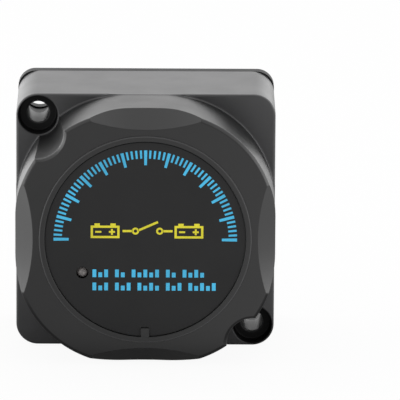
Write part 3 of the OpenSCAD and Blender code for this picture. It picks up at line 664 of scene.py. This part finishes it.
def label_film(colours):
    """Matte printed film of the label."""
    return moulded(
        "matte_label_film", colours.label_black, 0.62, 0.3 * MM, 0.012 * MM, level=0.35, edge=0.06 * MM,
        mottle=0.1,
    )


def printed_ink(name, base):
    """Screen-printed ink, a little uneven."""
    return moulded(name, base, 0.5, 0.12 * MM, 0.002 * MM, level=0.3, edge=0, mottle=0.14)


def clouded_resin(colours):
    """Clouded clear resin of the status light."""
    finish, nodes, links, shader, place = node_tree("clouded_resin")
    cloud = noise(nodes, links, place, 0.8 * MM, 3)
    links.new(mottled(nodes, links, cloud, colours.resin, 0.25), shader.inputs["Base Color"])
    shader.inputs["Roughness"].default_value = 0.5
    shader.inputs["Transmission Weight"].default_value = 0.1
    shader.inputs["Subsurface Weight"].default_value = 0.2
    shader.inputs["Subsurface Radius"].default_value = (1 * MM, 1 * MM, 1 * MM)
    surface(nodes, links, shader, cloud, 0.01 * MM)
    return finish


def spring_wire():
    """Drawn spring wire."""
    return metal("spring_wire", (0.5, 0.5, 0.52), 0.26, size=0.3 * MM, depth=0.001 * MM)


def wound_wire(pitch):
    """Enamelled wire, wound in turns that lie side by side along the depth axis."""
    finish, nodes, links, shader, place = node_tree("enamelled_wire")
    split = nodes.new("ShaderNodeSeparateXYZ")
    links.new(place, split.inputs[0])
    phase = math_node(nodes, links, "MULTIPLY", split.outputs["Y"], math.pi / pitch)
    turns = math_node(nodes, links, "ABSOLUTE", math_node(nodes, links, "SINE", phase))
    broad = noise(nodes, links, place, 5 * MM, 2)
    links.new(mottled(nodes, links, broad, (0.5, 0.16, 0.06), 0.12), shader.inputs["Base Color"])
    links.new(spread(nodes, links, broad, 0.24, 0.36), shader.inputs["Roughness"])
    shader.inputs["Metallic"].default_value = 1
    surface(nodes, links, shader, turns, pitch / 2)
    return finish


def inner_finishes():
    """Finishes of the pieces inside and behind, by the record's slot names."""
    return {
        "tin": metal("tinned_wire", (0.6, 0.6, 0.61), 0.32),
        "copper": metal("bare_copper", (0.62, 0.29, 0.17), 0.3, drawn=(1, 1, 5), depth=0.001 * MM),
        "plated_nut": metal("bright_zinc", (0.62, 0.62, 0.64), 0.24, size=1.2 * MM, depth=0.001 * MM),
        "seal_rubber": moulded("seal_rubber", (0.014, 0.014, 0.014), 0.7, 0.3 * MM, 0.008 * MM, level=0.3),
        "screw_steel": metal("plated_screw", (0.58, 0.58, 0.6), 0.3, size=0.8 * MM, depth=0.001 * MM),
        "yoke_steel": metal("rolled_steel", (0.5, 0.5, 0.49), 0.36, drawn=(1, 1, 7), depth=0.002 * MM),
        "sleeve_brass": metal("drawn_brass", (0.62, 0.42, 0.15), 0.28, drawn=(1, 0.2, 1)),
        "nylon": moulded("natural_nylon", (0.6, 0.57, 0.48), 0.42, 0.4 * MM, 0.006 * MM),
        "enamel_wire": wound_wire(0.55 * MM),
        "coil_film": moulded("coil_film", (0.55, 0.34, 0.03), 0.25, 1.5 * MM, 0.01 * MM),
        "spring_steel": spring_wire(),
        "silver": metal("silver_alloy", (0.8, 0.79, 0.76), 0.22, size=0.3 * MM),
        "board_green": moulded("solder_mask", (0.012, 0.085, 0.032), 0.28, 1.2 * MM, 0.01 * MM, mottle=0.25),
        "chip_black": moulded("chip_epoxy", (0.015, 0.015, 0.016), 0.6, 0.2 * MM, 0.006 * MM),
        "can_blue": moulded("can_sleeve", (0.01, 0.014, 0.06), 0.3, 0.6 * MM, 0.006 * MM),
        "chip_ceramic": moulded("chip_ceramic", (0.2, 0.12, 0.06), 0.5, 0.2 * MM, 0.004 * MM),
    }


# Pieces


def case_outside(s):
    """The square block with the round front, its foot fillet and its rim."""
    block = rounded_block(s.half, s.corner, s.rear, s.shoulder, s.edge)
    sunk = s.shoulder - s.edge
    profile = [(s.foot, sunk)] + arc((s.foot, s.shoulder + s.foot), s.foot, 270, 180, 8)
    profile += soften([
        (0, s.shoulder + s.foot), (0, s.face - s.rim), (-s.rim, s.face), (-s.rim - 2 * MM, s.face),
    ], 0.25 * MM, 3)[1:]
    bend = s.front - s.flat
    dome = lofted([square_ring(s.front + grow, bend + grow, depth) for grow, depth in profile])
    for x, y in ((1, 0), (-1, 0), (0, 1), (0, -1)):
        cut = bmesh.ops.bisect_plane(
            dome, geom=dome.verts[:] + dome.edges[:] + dome.faces[:], dist=TINY,
            plane_co=(x * s.half, y * s.half, 0), plane_no=(x, y, 0), clear_outer=True,
        )["geom_cut"]
        bmesh.ops.holes_fill(dome, edges=[e for e in cut if isinstance(e, bmesh.types.BMEdge)])
    return combined(block, tidied(dome), "UNION")


def pillar_places(s):
    """Centres of the two screw pillars, upper left and lower right."""
    at = s.half - s.corner
    return [(-at, at), (at, -at)]


def boss_places(s):
    """Centres of the two case screws, upper right and lower left."""
    at = s.half - s.corner
    return [(at, at), (-at, -at)]


def case_hollow(s):
    """The room inside the case, without its pillars, bosses and posts."""
    inner_half, inner, inner_face = s.half - s.wall, s.front - s.wall, s.face - s.wall
    cut = s.scoop_reach / 2
    room = rounded_block(inner_half, s.corner - s.wall, s.rear - OVER, s.shoulder - s.wall, 0, 8)
    bend = inner - s.flat
    dome = lofted([
        square_ring(inner - step, bend - step, depth)
        for step, depth in ((0, s.rear), (0, inner_face - cut), (cut, inner_face))
    ])
    room = combined(room, dome, "UNION")
    web = s.pillar_wall
    rise = (s.notch_face - s.notch_foot) / (s.face - s.shoulder)
    pillar = [
        (0, s.rear - 2 * OVER), (s.bore + web, s.rear - 2 * OVER), (s.bore + web, s.shoulder - s.wall),
        (s.notch_foot + web, s.shoulder - s.wall),
        (s.notch_foot + web + rise * (s.face - s.shoulder), s.face), (0, s.face),
    ]
    pillars = gathered([placed(turned(pillar, steps=64), x, y) for x, y in pillar_places(s)])
    room = combined(room, pillars, "DIFFERENCE")
    boss_r = s.corner - s.wall + 0.2 * s.wall
    bosses = [placed(rod(boss_r, s.rear - 2 * OVER, s.shoulder, 48), x, y) for x, y in boss_places(s)]
    posts = [
        placed(rod(s.post_r, inner_face - s.post_l, s.face, 48), s.post_at, 0, turn=turn)
        for turn in (45, 135, 225, 315)
    ]
    return combined(room, gathered(bosses + posts), "DIFFERENCE")


def screw_well(s):
    """The stepped bore of a screw pillar with the notch in front of it."""
    step = 0.15 * MM
    rear = [(0, -OVER), (s.rear_bore, -OVER), (s.rear_bore, s.seat - s.web), (s.screw_hole, s.seat - s.web)]
    seat = soften([
        (s.screw_hole, s.seat - s.web), (s.screw_hole, s.seat), (s.bore - step, s.seat),
        (s.bore, s.shoulder - step), (s.notch_foot, s.shoulder),
    ], 0.5 * MM, 4)[1:]
    rim = soften([
        (s.notch_foot, s.shoulder), (s.notch_face, s.face - s.rim),
        (s.notch_face + 2 * s.rim, s.face + s.rim),
    ], 0.4 * MM, 3)[1:]
    return turned(rear + seat + rim + [(0, s.face + s.rim)], steps=128)


def scoop(s):
    """The long round bar that hollows one scoop at the top of the round front."""
    tilt = math.atan2(s.scoop_reach, s.scoop_drop)
    bar = rod(s.scoop_r, -s.half, s.half, 720)
    bmesh.ops.translate(bar, verts=bar.verts, vec=(0, s.scoop_r, 0))
    bmesh.ops.rotate(bar, verts=bar.verts, cent=(0, 0, 0), matrix=Matrix.Rotation(tilt, 3, "X"))
    return placed(bar, 0, s.front - s.scoop_reach, s.face)


def outlet_bar(s, near, far):
    """A cable outlet as a bar along +X, its round end away from the mounting face."""
    straight = s.outlet_depth - s.outlet
    outline = [(-s.outlet, -OVER), (s.outlet, -OVER)] + arc((0, straight), s.outlet, 0, 180, 32)
    bar = prism(outline, near, far)
    turn = Matrix.Rotation(math.pi / 2, 3, "Z") @ Matrix.Rotation(math.pi / 2, 3, "X")
    bmesh.ops.rotate(bar, verts=bar.verts, cent=(0, 0, 0), matrix=turn)
    return placed(bar, 0, s.outlet_at)


def case_solid(s, front):
    """The whole case, cut and bored."""
    solid = combined(case_outside(s), case_hollow(s), "DIFFERENCE")
    for turn in (0, 90):
        pair = gathered([placed(scoop(s), turn=turn), placed(scoop(s), turn=turn + 180)])
        solid = combined(solid, pair, "DIFFERENCE")
    wells = gathered([placed(screw_well(s), x, y) for x, y in pillar_places(s)])
    solid = combined(solid, wells, "DIFFERENCE")
    near = s.half - s.wall - OVER
    ends = [placed(outlet_bar(s, near, s.half + OVER), turn=turn) for turn in (0, 180)]
    screws = [placed(rod(s.pilot, 0, s.pilot_end, 32), x, y) for x, y in boss_places(s)]
    solid = combined(solid, gathered(ends + screws), "DIFFERENCE")
    recess = rod(s.lip_in, s.recess, s.face + OVER)
    solid = combined(solid, recess, "DIFFERENCE")
    light = placed(
        rod(front.light_r + front.fit, s.face - s.wall - OVER, s.face, 64), -front.light_x, -front.light_y
    )
    return combined(solid, light, "DIFFERENCE")


def lip_ring(s):
    """The raised lip round the label, with softened edges, and the key at its foot."""
    width, sunk, rounding, step = s.lip_out - s.lip_in, 0.3 * MM, 0.3 * MM, 0.13 * MM
    foot = s.recess - sunk
    ring = turned(soften(
        [(s.lip_in, foot), (s.lip_out, foot), (s.lip_out, s.lip_top), (s.lip_in, s.lip_top)],
        rounding, 6, closed=True,
    ), closed=True)
    key = slab(s.key_width, s.key_length + width / 2, s.recess - sunk + TINY, s.lip_top - step)
    bmesh.ops.bevel(
        key, geom=[e for e in key.edges if e.calc_length() > 0.5 * MM], offset=0.12 * MM,
        offset_type="OFFSET", segments=2, profile=0.5, affect="EDGES", material=-1,
    )
    return combined(ring, placed(key, 0, -s.lip_in + s.key_length / 2 - width / 4), "UNION")


def band(inner, outer, start, end, low, high, steps=3):
    """A stretch of a flat ring between two angles in degrees."""
    outline = arc((0, 0), outer, start, end, steps) + arc((0, 0), inner, end, start, steps)
    return prism(outline, low, high)


def bar(x, y, width, height, low, high):
    """A printed bar with its lower left corner at x and y."""
    return placed(slab(width, height, low, high), x + width / 2, y + height / 2)


def scale_marks(p, low, high):
    """A scale of long and short marks that arches over the label."""
    marks = []
    for step in range(p.marks):
        angle = 180 - 180 * step / (p.marks - 1)
        reach, turn = (p.short_mark, p.short_turn) if step % p.every else (p.long_mark, p.long_turn)
        wide = math.degrees(turn)
        marks.append(band(p.scale_r - reach, p.scale_r, angle - wide / 2, angle + wide / 2, low, high))
    return marks


def print_rows(p, low, high):
    """Two rows of short strokes in groups beside and below the status light."""
    strokes = []
    strokes_in_groups = ((3, 2, 5, 2, 4), (3, 3, 4, 3, 5))
    for row, groups in enumerate(strokes_in_groups):
        x, y = -p.row_x, -p.row_y - p.row_gap * row
        for strokes_here in groups:
            for k in range(strokes_here):
                strokes.append(bar(x, y, p.stroke, p.low if k % 2 else p.tall, low, high))
                x += p.stroke_gap
            x += p.group_gap
    return strokes


def framed(x, y, width, height, line, low, high):
    """Four bars that frame a box."""
    return [
        bar(x, y, width, line, low, high), bar(x, y + height - line, width, line, low, high),
        bar(x, y + line, line, height - 2 * line, low, high),
        bar(x + width - line, y + line, line, height - 2 * line, low, high),
    ]


def battery_mark(p, x, low, high):
    """The plain sign of a battery, with its two poles, minus and plus."""
    y = p.sign_y
    signs = framed(x, y, p.battery_w, p.battery_h, p.line, low, high)
    for pole_x in (x + p.pole_in, x + p.battery_w - p.pole_in - p.pole):
        signs.append(bar(pole_x, y + p.battery_h, p.pole, p.line, low, high))
    minus_x, plus_x = x + p.symbol_in, x + p.battery_w - p.symbol_in - p.symbol
    middle = y + (p.battery_h - p.thin) / 2
    for symbol_x in (minus_x, plus_x):
        signs.append(bar(symbol_x, middle, p.symbol, p.thin, low, high))
    arm = (p.symbol - p.thin) / 2
    for arm_y in (middle - arm, middle + p.thin):
        signs.append(bar(plus_x + arm, arm_y, p.thin, arm, low, high))
    return signs


def switch_mark(p, low, high):
    """The plain sign of an open contact between two leads."""
    overlap = p.line / 4
    left, right = p.switch_x - p.contact_at, p.switch_x + p.contact_at
    edge = p.contact_r - overlap
    signs = [
        bar(left - edge - p.lead, p.switch_y, p.lead, p.line, low, high),
        bar(right + edge, p.switch_y, p.lead, p.line, low, high),
    ]
    inner_r = p.contact_r - p.thin
    for x in (left, right):
        outline = [(inner_r, low), (p.contact_r, low), (p.contact_r, high), (inner_r, high)]
        signs.append(placed(turned(outline, True, 32), x, p.switch_y + p.line / 2))
    lever = placed(slab(p.lever, p.line, low, high), p.lever / 2, 0, turn=math.degrees(p.lever_turn))
    signs.append(placed(lever, left + edge, p.switch_y + p.line * 5 / 6))
    return signs


# Operators


class RELAY_OT_case(bpy.types.Operator):
    """Makes the moulded case with its lip"""

    bl_idname = "relay.case"
    bl_label = "Make the case"

    def execute(self, context):
        sizes, front = context.scene.relay_case, context.scene.relay_front
        finish = case_plastic(context.scene.relay_finish, sizes)
        solid = case_solid(sizes, front)
        standing(solid, "case_moulding", finish, "case", ["housing"])
        lip_highlight_finish = lip_plastic(context.scene.relay_finish, sizes)
        standing(lip_ring(sizes), "label_lip", lip_highlight_finish, "case")
        return {"FINISHED"}


class RELAY_OT_label(bpy.types.Operator):
    """Makes the round label"""

    bl_idname = "relay.label"
    bl_label = "Make the label"

    def execute(self, context):
        s, case, colours = context.scene.relay_front, context.scene.relay_case, context.scene.relay_finish
        outline = [(0, s.rear), (s.label_r, s.rear), (s.label_r, s.front), (0, s.front)]
        disc = turned(soften(outline, 0.06 * MM, 2))
        hole = placed(rod(s.light_r + s.fit / 2, s.rear - OVER, s.front + OVER, 48), -s.light_x, -s.light_y)
        key = slab(case.key_width + 2 * s.fit, 2 * (case.key_length + s.fit), s.rear - OVER, s.front + OVER)
        disc = combined(disc, gathered([hole, placed(key, 0, -s.label_r)]), "DIFFERENCE")
        standing(disc, "label_face", label_film(colours), "case", ["label_disc"])
        return {"FINISHED"}


class RELAY_OT_print(bpy.types.Operator):
    """Prints the label's scale, rows and signs"""

    bl_idname = "relay.print"
    bl_label = "Print the label"

    def execute(self, context):
        s, p = context.scene.relay_front, context.scene.relay_print
        low, high = s.front - s.ink / 2, s.front + s.ink
        blue = gathered(scale_marks(p, low, high) + print_rows(p, low, high))
        standing(blue, "blue_print", printed_ink("blue_ink", p.blue), "case")
        signs = battery_mark(p, -p.left_x, low, high) + battery_mark(p, p.right_x, low, high)
        yellow = gathered(signs + switch_mark(p, low, high))
        standing(yellow, "yellow_print", printed_ink("yellow_ink", p.yellow), "case")
        return {"FINISHED"}


class RELAY_OT_light(bpy.types.Operator):
    """Makes the status light's lens"""

    bl_idname = "relay.light"
    bl_label = "Make the status light"

    def execute(self, context):
        s = context.scene.relay_front
        low, high = -LED_HIGH.y, -LED_LOW.y
        flange_r = (LED_HIGH.x - LED_LOW.x) / 2
        dome = arc((0, high - s.light_r), s.light_r, 0, 90, 12)
        lens = turned(
            [(0, low), (flange_r, low), (flange_r, low + s.light_rim), (s.light_r, low + s.light_rim)]
            + dome[:-1] + [(0, high)], steps=64,
        )
        finish = clouded_resin(context.scene.relay_finish)
        lens = placed(lens, -s.light_x, -s.light_y)
        standing(lens, "status_lens", finish, "case", ["status_led"])
        return {"FINISHED"}


class RELAY_OT_studs(bpy.types.Operator):
    """Makes the threaded studs with their contact posts"""

    bl_idname = "relay.studs"
    bl_label = "Make the studs"

    def execute(self, context):
        s = context.scene.relay_metal
        low, high = -STUD_HIGH.y, -STUD_LOW.y
        studs = []
        for turn in (0, 180):
            post = turned([
                (0, s.thread_end - s.pitch), (s.stud_r - s.tooth, s.thread_end - s.pitch),
                (s.stud_r, s.thread_end), (s.stud_r, s.collar), (s.collar_r, s.collar),
                (s.collar_r, s.collar + s.collar_t), (s.post_r, s.collar + s.collar_t), (s.post_r, high),
                (0, high),
            ], steps=96)
            stem = threaded(s.stud_r, s.pitch, s.tooth, low, s.thread_end, s.bevel)
            studs.append(placed(gathered([stem, post]), 0, s.stud_at, turn=turn))
        finish = metal("stud_copper", (0.62, 0.29, 0.17), 0.3, depth=0.001 * MM)
        standing(gathered(studs), "threaded_studs", finish, "case", ["terminal_studs"])
        return {"FINISHED"}


class RELAY_OT_springs(bpy.types.Operator):
    """Makes the return spring and the contact spring"""

    bl_idname = "relay.springs"
    bl_label = "Make the springs"

    def execute(self, context):
        s = context.scene.relay_metal
        finish = spring_wire()
        low, high, wire = RETURN_LOW, RETURN_HIGH, s.return_wire
        part = coil(high.x - wire, wire, -high.y, -low.y, s.return_turns)
        spring = standing(part, "return_coil", finish, "case", ["return_spring"], fair=False)
        self.squeeze(spring, high.y, low.y, TRAVEL)
        low, high, wire = CONTACT_LOW, CONTACT_HIGH, s.contact_wire
        part = coil(high.x - wire, wire, -high.y, -low.y, s.contact_turns)
        spring = standing(part, "contact_coil", finish, "bridge", ["contact_spring"], fair=False)
        self.squeeze(spring, high.y, low.y, TRAVEL - BRIDGE_TRAVEL)
        return {"FINISHED"}

    def squeeze(self, spring, rear, front, shrink):
        """Gives the spring a mesh of its own; it is not shortened."""
        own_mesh(spring)


class RELAY_OT_inner_finishes(bpy.types.Operator):
    """Gives every carried-over piece its finish"""

    bl_idname = "relay.inner_finishes"
    bl_label = "Finish the inner pieces"

    def execute(self, context):
        finishes = inner_finishes()
        finishes["base_plastic"] = base_plastic(context.scene.relay_finish)
        for row in frame["record"]["subparts"]:
            finish = finishes.get(row["material_slot"])
            node = frame["nodes"][row["node"]]
            if finish is None or node.hide_render:
                continue
            node.data.materials.clear()
            node.data.materials.append(finish)
        return {"FINISHED"}


def soft_light(name, place, target, size, power, height=None):
    """A studio lamp that faces its target."""
    data = bpy.data.lights.new(name, "AREA")
    data.shape = "RECTANGLE"
    data.size = size
    data.size_y = height or size
    data.energy = power
    lamp = bpy.data.objects.new(name, data)
    lamp.location = place
    lamp.rotation_mode = "QUATERNION"
    lamp.rotation_quaternion = (Vector(target) - Vector(place)).to_track_quat("-Z", "Y")
    bpy.context.scene.collection.objects.link(lamp)


def by_ray(nodes, links, camera, glossy, other):
    """One shader for camera and glass rays, one for mirror rays and one for the rest."""
    path = nodes.new("ShaderNodeLightPath")
    first = nodes.new("ShaderNodeMixShader")
    links.new(path.outputs["Is Glossy Ray"], first.inputs[0])
    links.new(other, first.inputs[1])
    links.new(glossy, first.inputs[2])
    seen = math_node(
        nodes, links, "MAXIMUM", path.outputs["Is Camera Ray"], path.outputs["Is Transmission Ray"]
    )
    second = nodes.new("ShaderNodeMixShader")
    links.new(seen, second.inputs[0])
    links.new(first.outputs[0], second.inputs[1])
    links.new(camera, second.inputs[2])
    return second.outputs[0]


class RELAY_OT_stage(bpy.types.Operator):
    """Makes the floor, the lamps and the camera"""

    bl_idname = "relay.stage"
    bl_label = "Make the stage"

    def execute(self, context):
        scene = context.scene
        s = scene.relay_stage
        scene.view_settings.view_transform = "Standard"
        self.make_world(scene, s)
        self.make_floor(s)
        self.make_lamps(s)
        self.make_camera(scene, s)
        return {"FINISHED"}

    def make_world(self, scene, s):
        """White to the eye, and to polished faces brighter behind than in front."""
        scene.world = bpy.data.worlds.new("studio")
        scene.world.use_nodes = True
        nodes, links = scene.world.node_tree.nodes, scene.world.node_tree.links
        room, white, mirrored = nodes["Background"], *[nodes.new("ShaderNodeBackground") for k in range(2)]
        for back, strength in ((room, s.room), (white, 1.0)):
            back.inputs["Color"].default_value = (1, 1, 1, 1)
            back.inputs["Strength"].default_value = strength
        split = nodes.new("ShaderNodeSeparateXYZ")
        links.new(nodes.new("ShaderNodeTexCoord").outputs["Generated"], split.inputs[0])
        aside = math_node(nodes, links, "ABSOLUTE", split.outputs["X"])
        back = ramp(nodes, links, split.outputs["Y"], -1, 1, s.mirror_front, s.mirror_back)
        sides = ramp(nodes, links, aside, 0.05, 0.45, 0.9, 1.5)
        mirror = math_node(nodes, links, "MULTIPLY", back, sides)
        links.new(mirror, mirrored.inputs["Strength"])
        shader = by_ray(nodes, links, white.outputs[0], mirrored.outputs[0], room.outputs[0])
        links.new(shader, nodes["World Output"].inputs["Surface"])

    def make_floor(self, s):
        """White to the eye with a soft shadow; to polished faces it glows with painted light, with a painted
        shadow under the case.
        """
        part = bmesh.new()
        bmesh.ops.create_grid(part, x_segments=1, y_segments=1, size=1.5)
        bmesh.ops.translate(part, verts=part.verts, vec=(0, 0, BASE_LOW.z))
        mesh = bpy.data.meshes.new("floor")
        part.to_mesh(mesh)
        part.free()
        floor = bpy.data.objects.new("floor", mesh)
        bpy.context.scene.collection.objects.link(floor)
        pale, nodes, links, shader, place = node_tree("pale_floor")
        shader.inputs["Base Color"].default_value = (0.8, 0.8, 0.8, 1)
        shader.inputs["Roughness"].default_value = 0.9
        shader.inputs["Specular IOR Level"].default_value = 0
        white, mirrored = nodes.new("ShaderNodeEmission"), nodes.new("ShaderNodeEmission")
        shaded = nodes.new("ShaderNodeMixShader")
        shaded.inputs[0].default_value = s.floor_white
        links.new(shader.outputs[0], shaded.inputs[1])
        links.new(white.outputs[0], shaded.inputs[2])
        split = nodes.new("ShaderNodeSeparateXYZ")
        links.new(place, split.inputs[0])
        aside = math_node(nodes, links, "ABSOLUTE", split.outputs["X"])
        # Painted light at the sides of the case, the left more than the right
        sides = math_node(
            nodes, links, "MULTIPLY", ramp(nodes, links, aside, 0.04, 0.12, 0.1, 1),
            ramp(nodes, links, split.outputs["X"], -0.12, 0.12, 1.85, 1.05),
        )
        # Painted light in front of the case, the right more than the left
        front = math_node(
            nodes, links, "MULTIPLY", ramp(nodes, links, split.outputs["Y"], -0.08, -0.05, 1, 0.15),
            ramp(nodes, links, split.outputs["X"], -0.06, 0.06, 0.72, 1.3),
        )
        links.new(math_node(nodes, links, "MAXIMUM", sides, front), mirrored.inputs["Strength"])
        surface_shader = by_ray(nodes, links, shaded.outputs[0], mirrored.outputs[0], shader.outputs[0])
        links.new(surface_shader, nodes["Material Output"].inputs["Surface"])
        mesh.materials.append(pale)

    def make_lamps(self, s):
        """A wide lamp on each side and one above."""
        middle = (0, -0.03, 0)
        soft_light("left_box", (-0.6, 0.1, 0.12), middle, 0.5, s.left_lamp, height=0.4)
        soft_light("right_box", (0.6, 0.0, 0.12), middle, 0.5, s.right_lamp, height=0.4)
        soft_light("top_box", (0, 0.25, 0.7), middle, 0.6, s.top_lamp)

    def make_camera(self, scene, s):
        """The photograph's view: a long lens, a little above the object."""
        centre = Vector((0, -scene.relay_case.face, 0))
        level = math.cos(s.rise)
        back = Vector((-math.sin(s.swing) * level, -math.cos(s.swing) * level, math.sin(s.rise)))
        data = bpy.data.cameras.new("camera")
        data.sensor_width = 36
        data.lens = s.focal / MM
        data.clip_start, data.clip_end = 0.1, 20
        camera = bpy.data.objects.new("camera", data)
        facing = (-back).to_track_quat("-Z", "Y")
        turn = facing @ Matrix.Rotation(-s.roll, 3, "Z").to_quaternion()
        camera.rotation_mode = "QUATERNION"
        camera.rotation_quaternion = turn
        right, up = turn @ Vector((1, 0, 0)), turn @ Vector((0, 1, 0))
        camera.location = centre + back * s.distance + right * s.aim_right + up * s.aim_up
        scene.collection.objects.link(camera)
        scene.camera = camera


OPERATORS = (
    RELAY_OT_case, RELAY_OT_label, RELAY_OT_print, RELAY_OT_light, RELAY_OT_studs,
    RELAY_OT_springs, RELAY_OT_inner_finishes, RELAY_OT_stage,
)


class RELAY_PT_panel(bpy.types.Panel):
    """Lists the relay's sizes, finishes and steps"""

    bl_idname = "RELAY_PT_panel"
    bl_label = "Battery isolator relay"
    bl_space_type = "VIEW_3D"
    bl_region_type = "UI"
    bl_category = "Relay"

    def draw(self, context):
        """One box for each group of settings, then the steps in order."""
        for group in (getattr(context.scene, name) for name in GROUPS):
            box = self.layout.box()
            for name in group.__annotations__:
                box.prop(group, name)
        for step in OPERATORS:
            self.layout.operator(step.bl_idname)


GROUPS = {
    "relay_case": RelayCaseSizes, "relay_front": RelayFrontSizes, "relay_print": RelayPrintSizes,
    "relay_metal": RelayMetalSizes, "relay_finish": RelayFinish, "relay_stage": RelayStage,
}


def register():
    """Makes the settings, the steps and the panel known to Blender."""
    for name, group in GROUPS.items():
        bpy.utils.register_class(group)
        setattr(bpy.types.Scene, name, bpy.props.PointerProperty(type=group))
    for step in (*OPERATORS, RELAY_PT_panel):
        bpy.utils.register_class(step)


def unregister():
    """Takes the panel, the steps and the settings away again."""
    for step in reversed((*OPERATORS, RELAY_PT_panel)):
        bpy.utils.unregister_class(step)
    for name, group in GROUPS.items():
        delattr(bpy.types.Scene, name)
        bpy.utils.unregister_class(group)


def main():
    """Makes every piece in order."""
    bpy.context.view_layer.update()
    register()
    for step in OPERATORS:
        name = step.bl_idname.split(".")[1]
        getattr(bpy.ops.relay, name)()


if __name__ == "__main__":
    main()
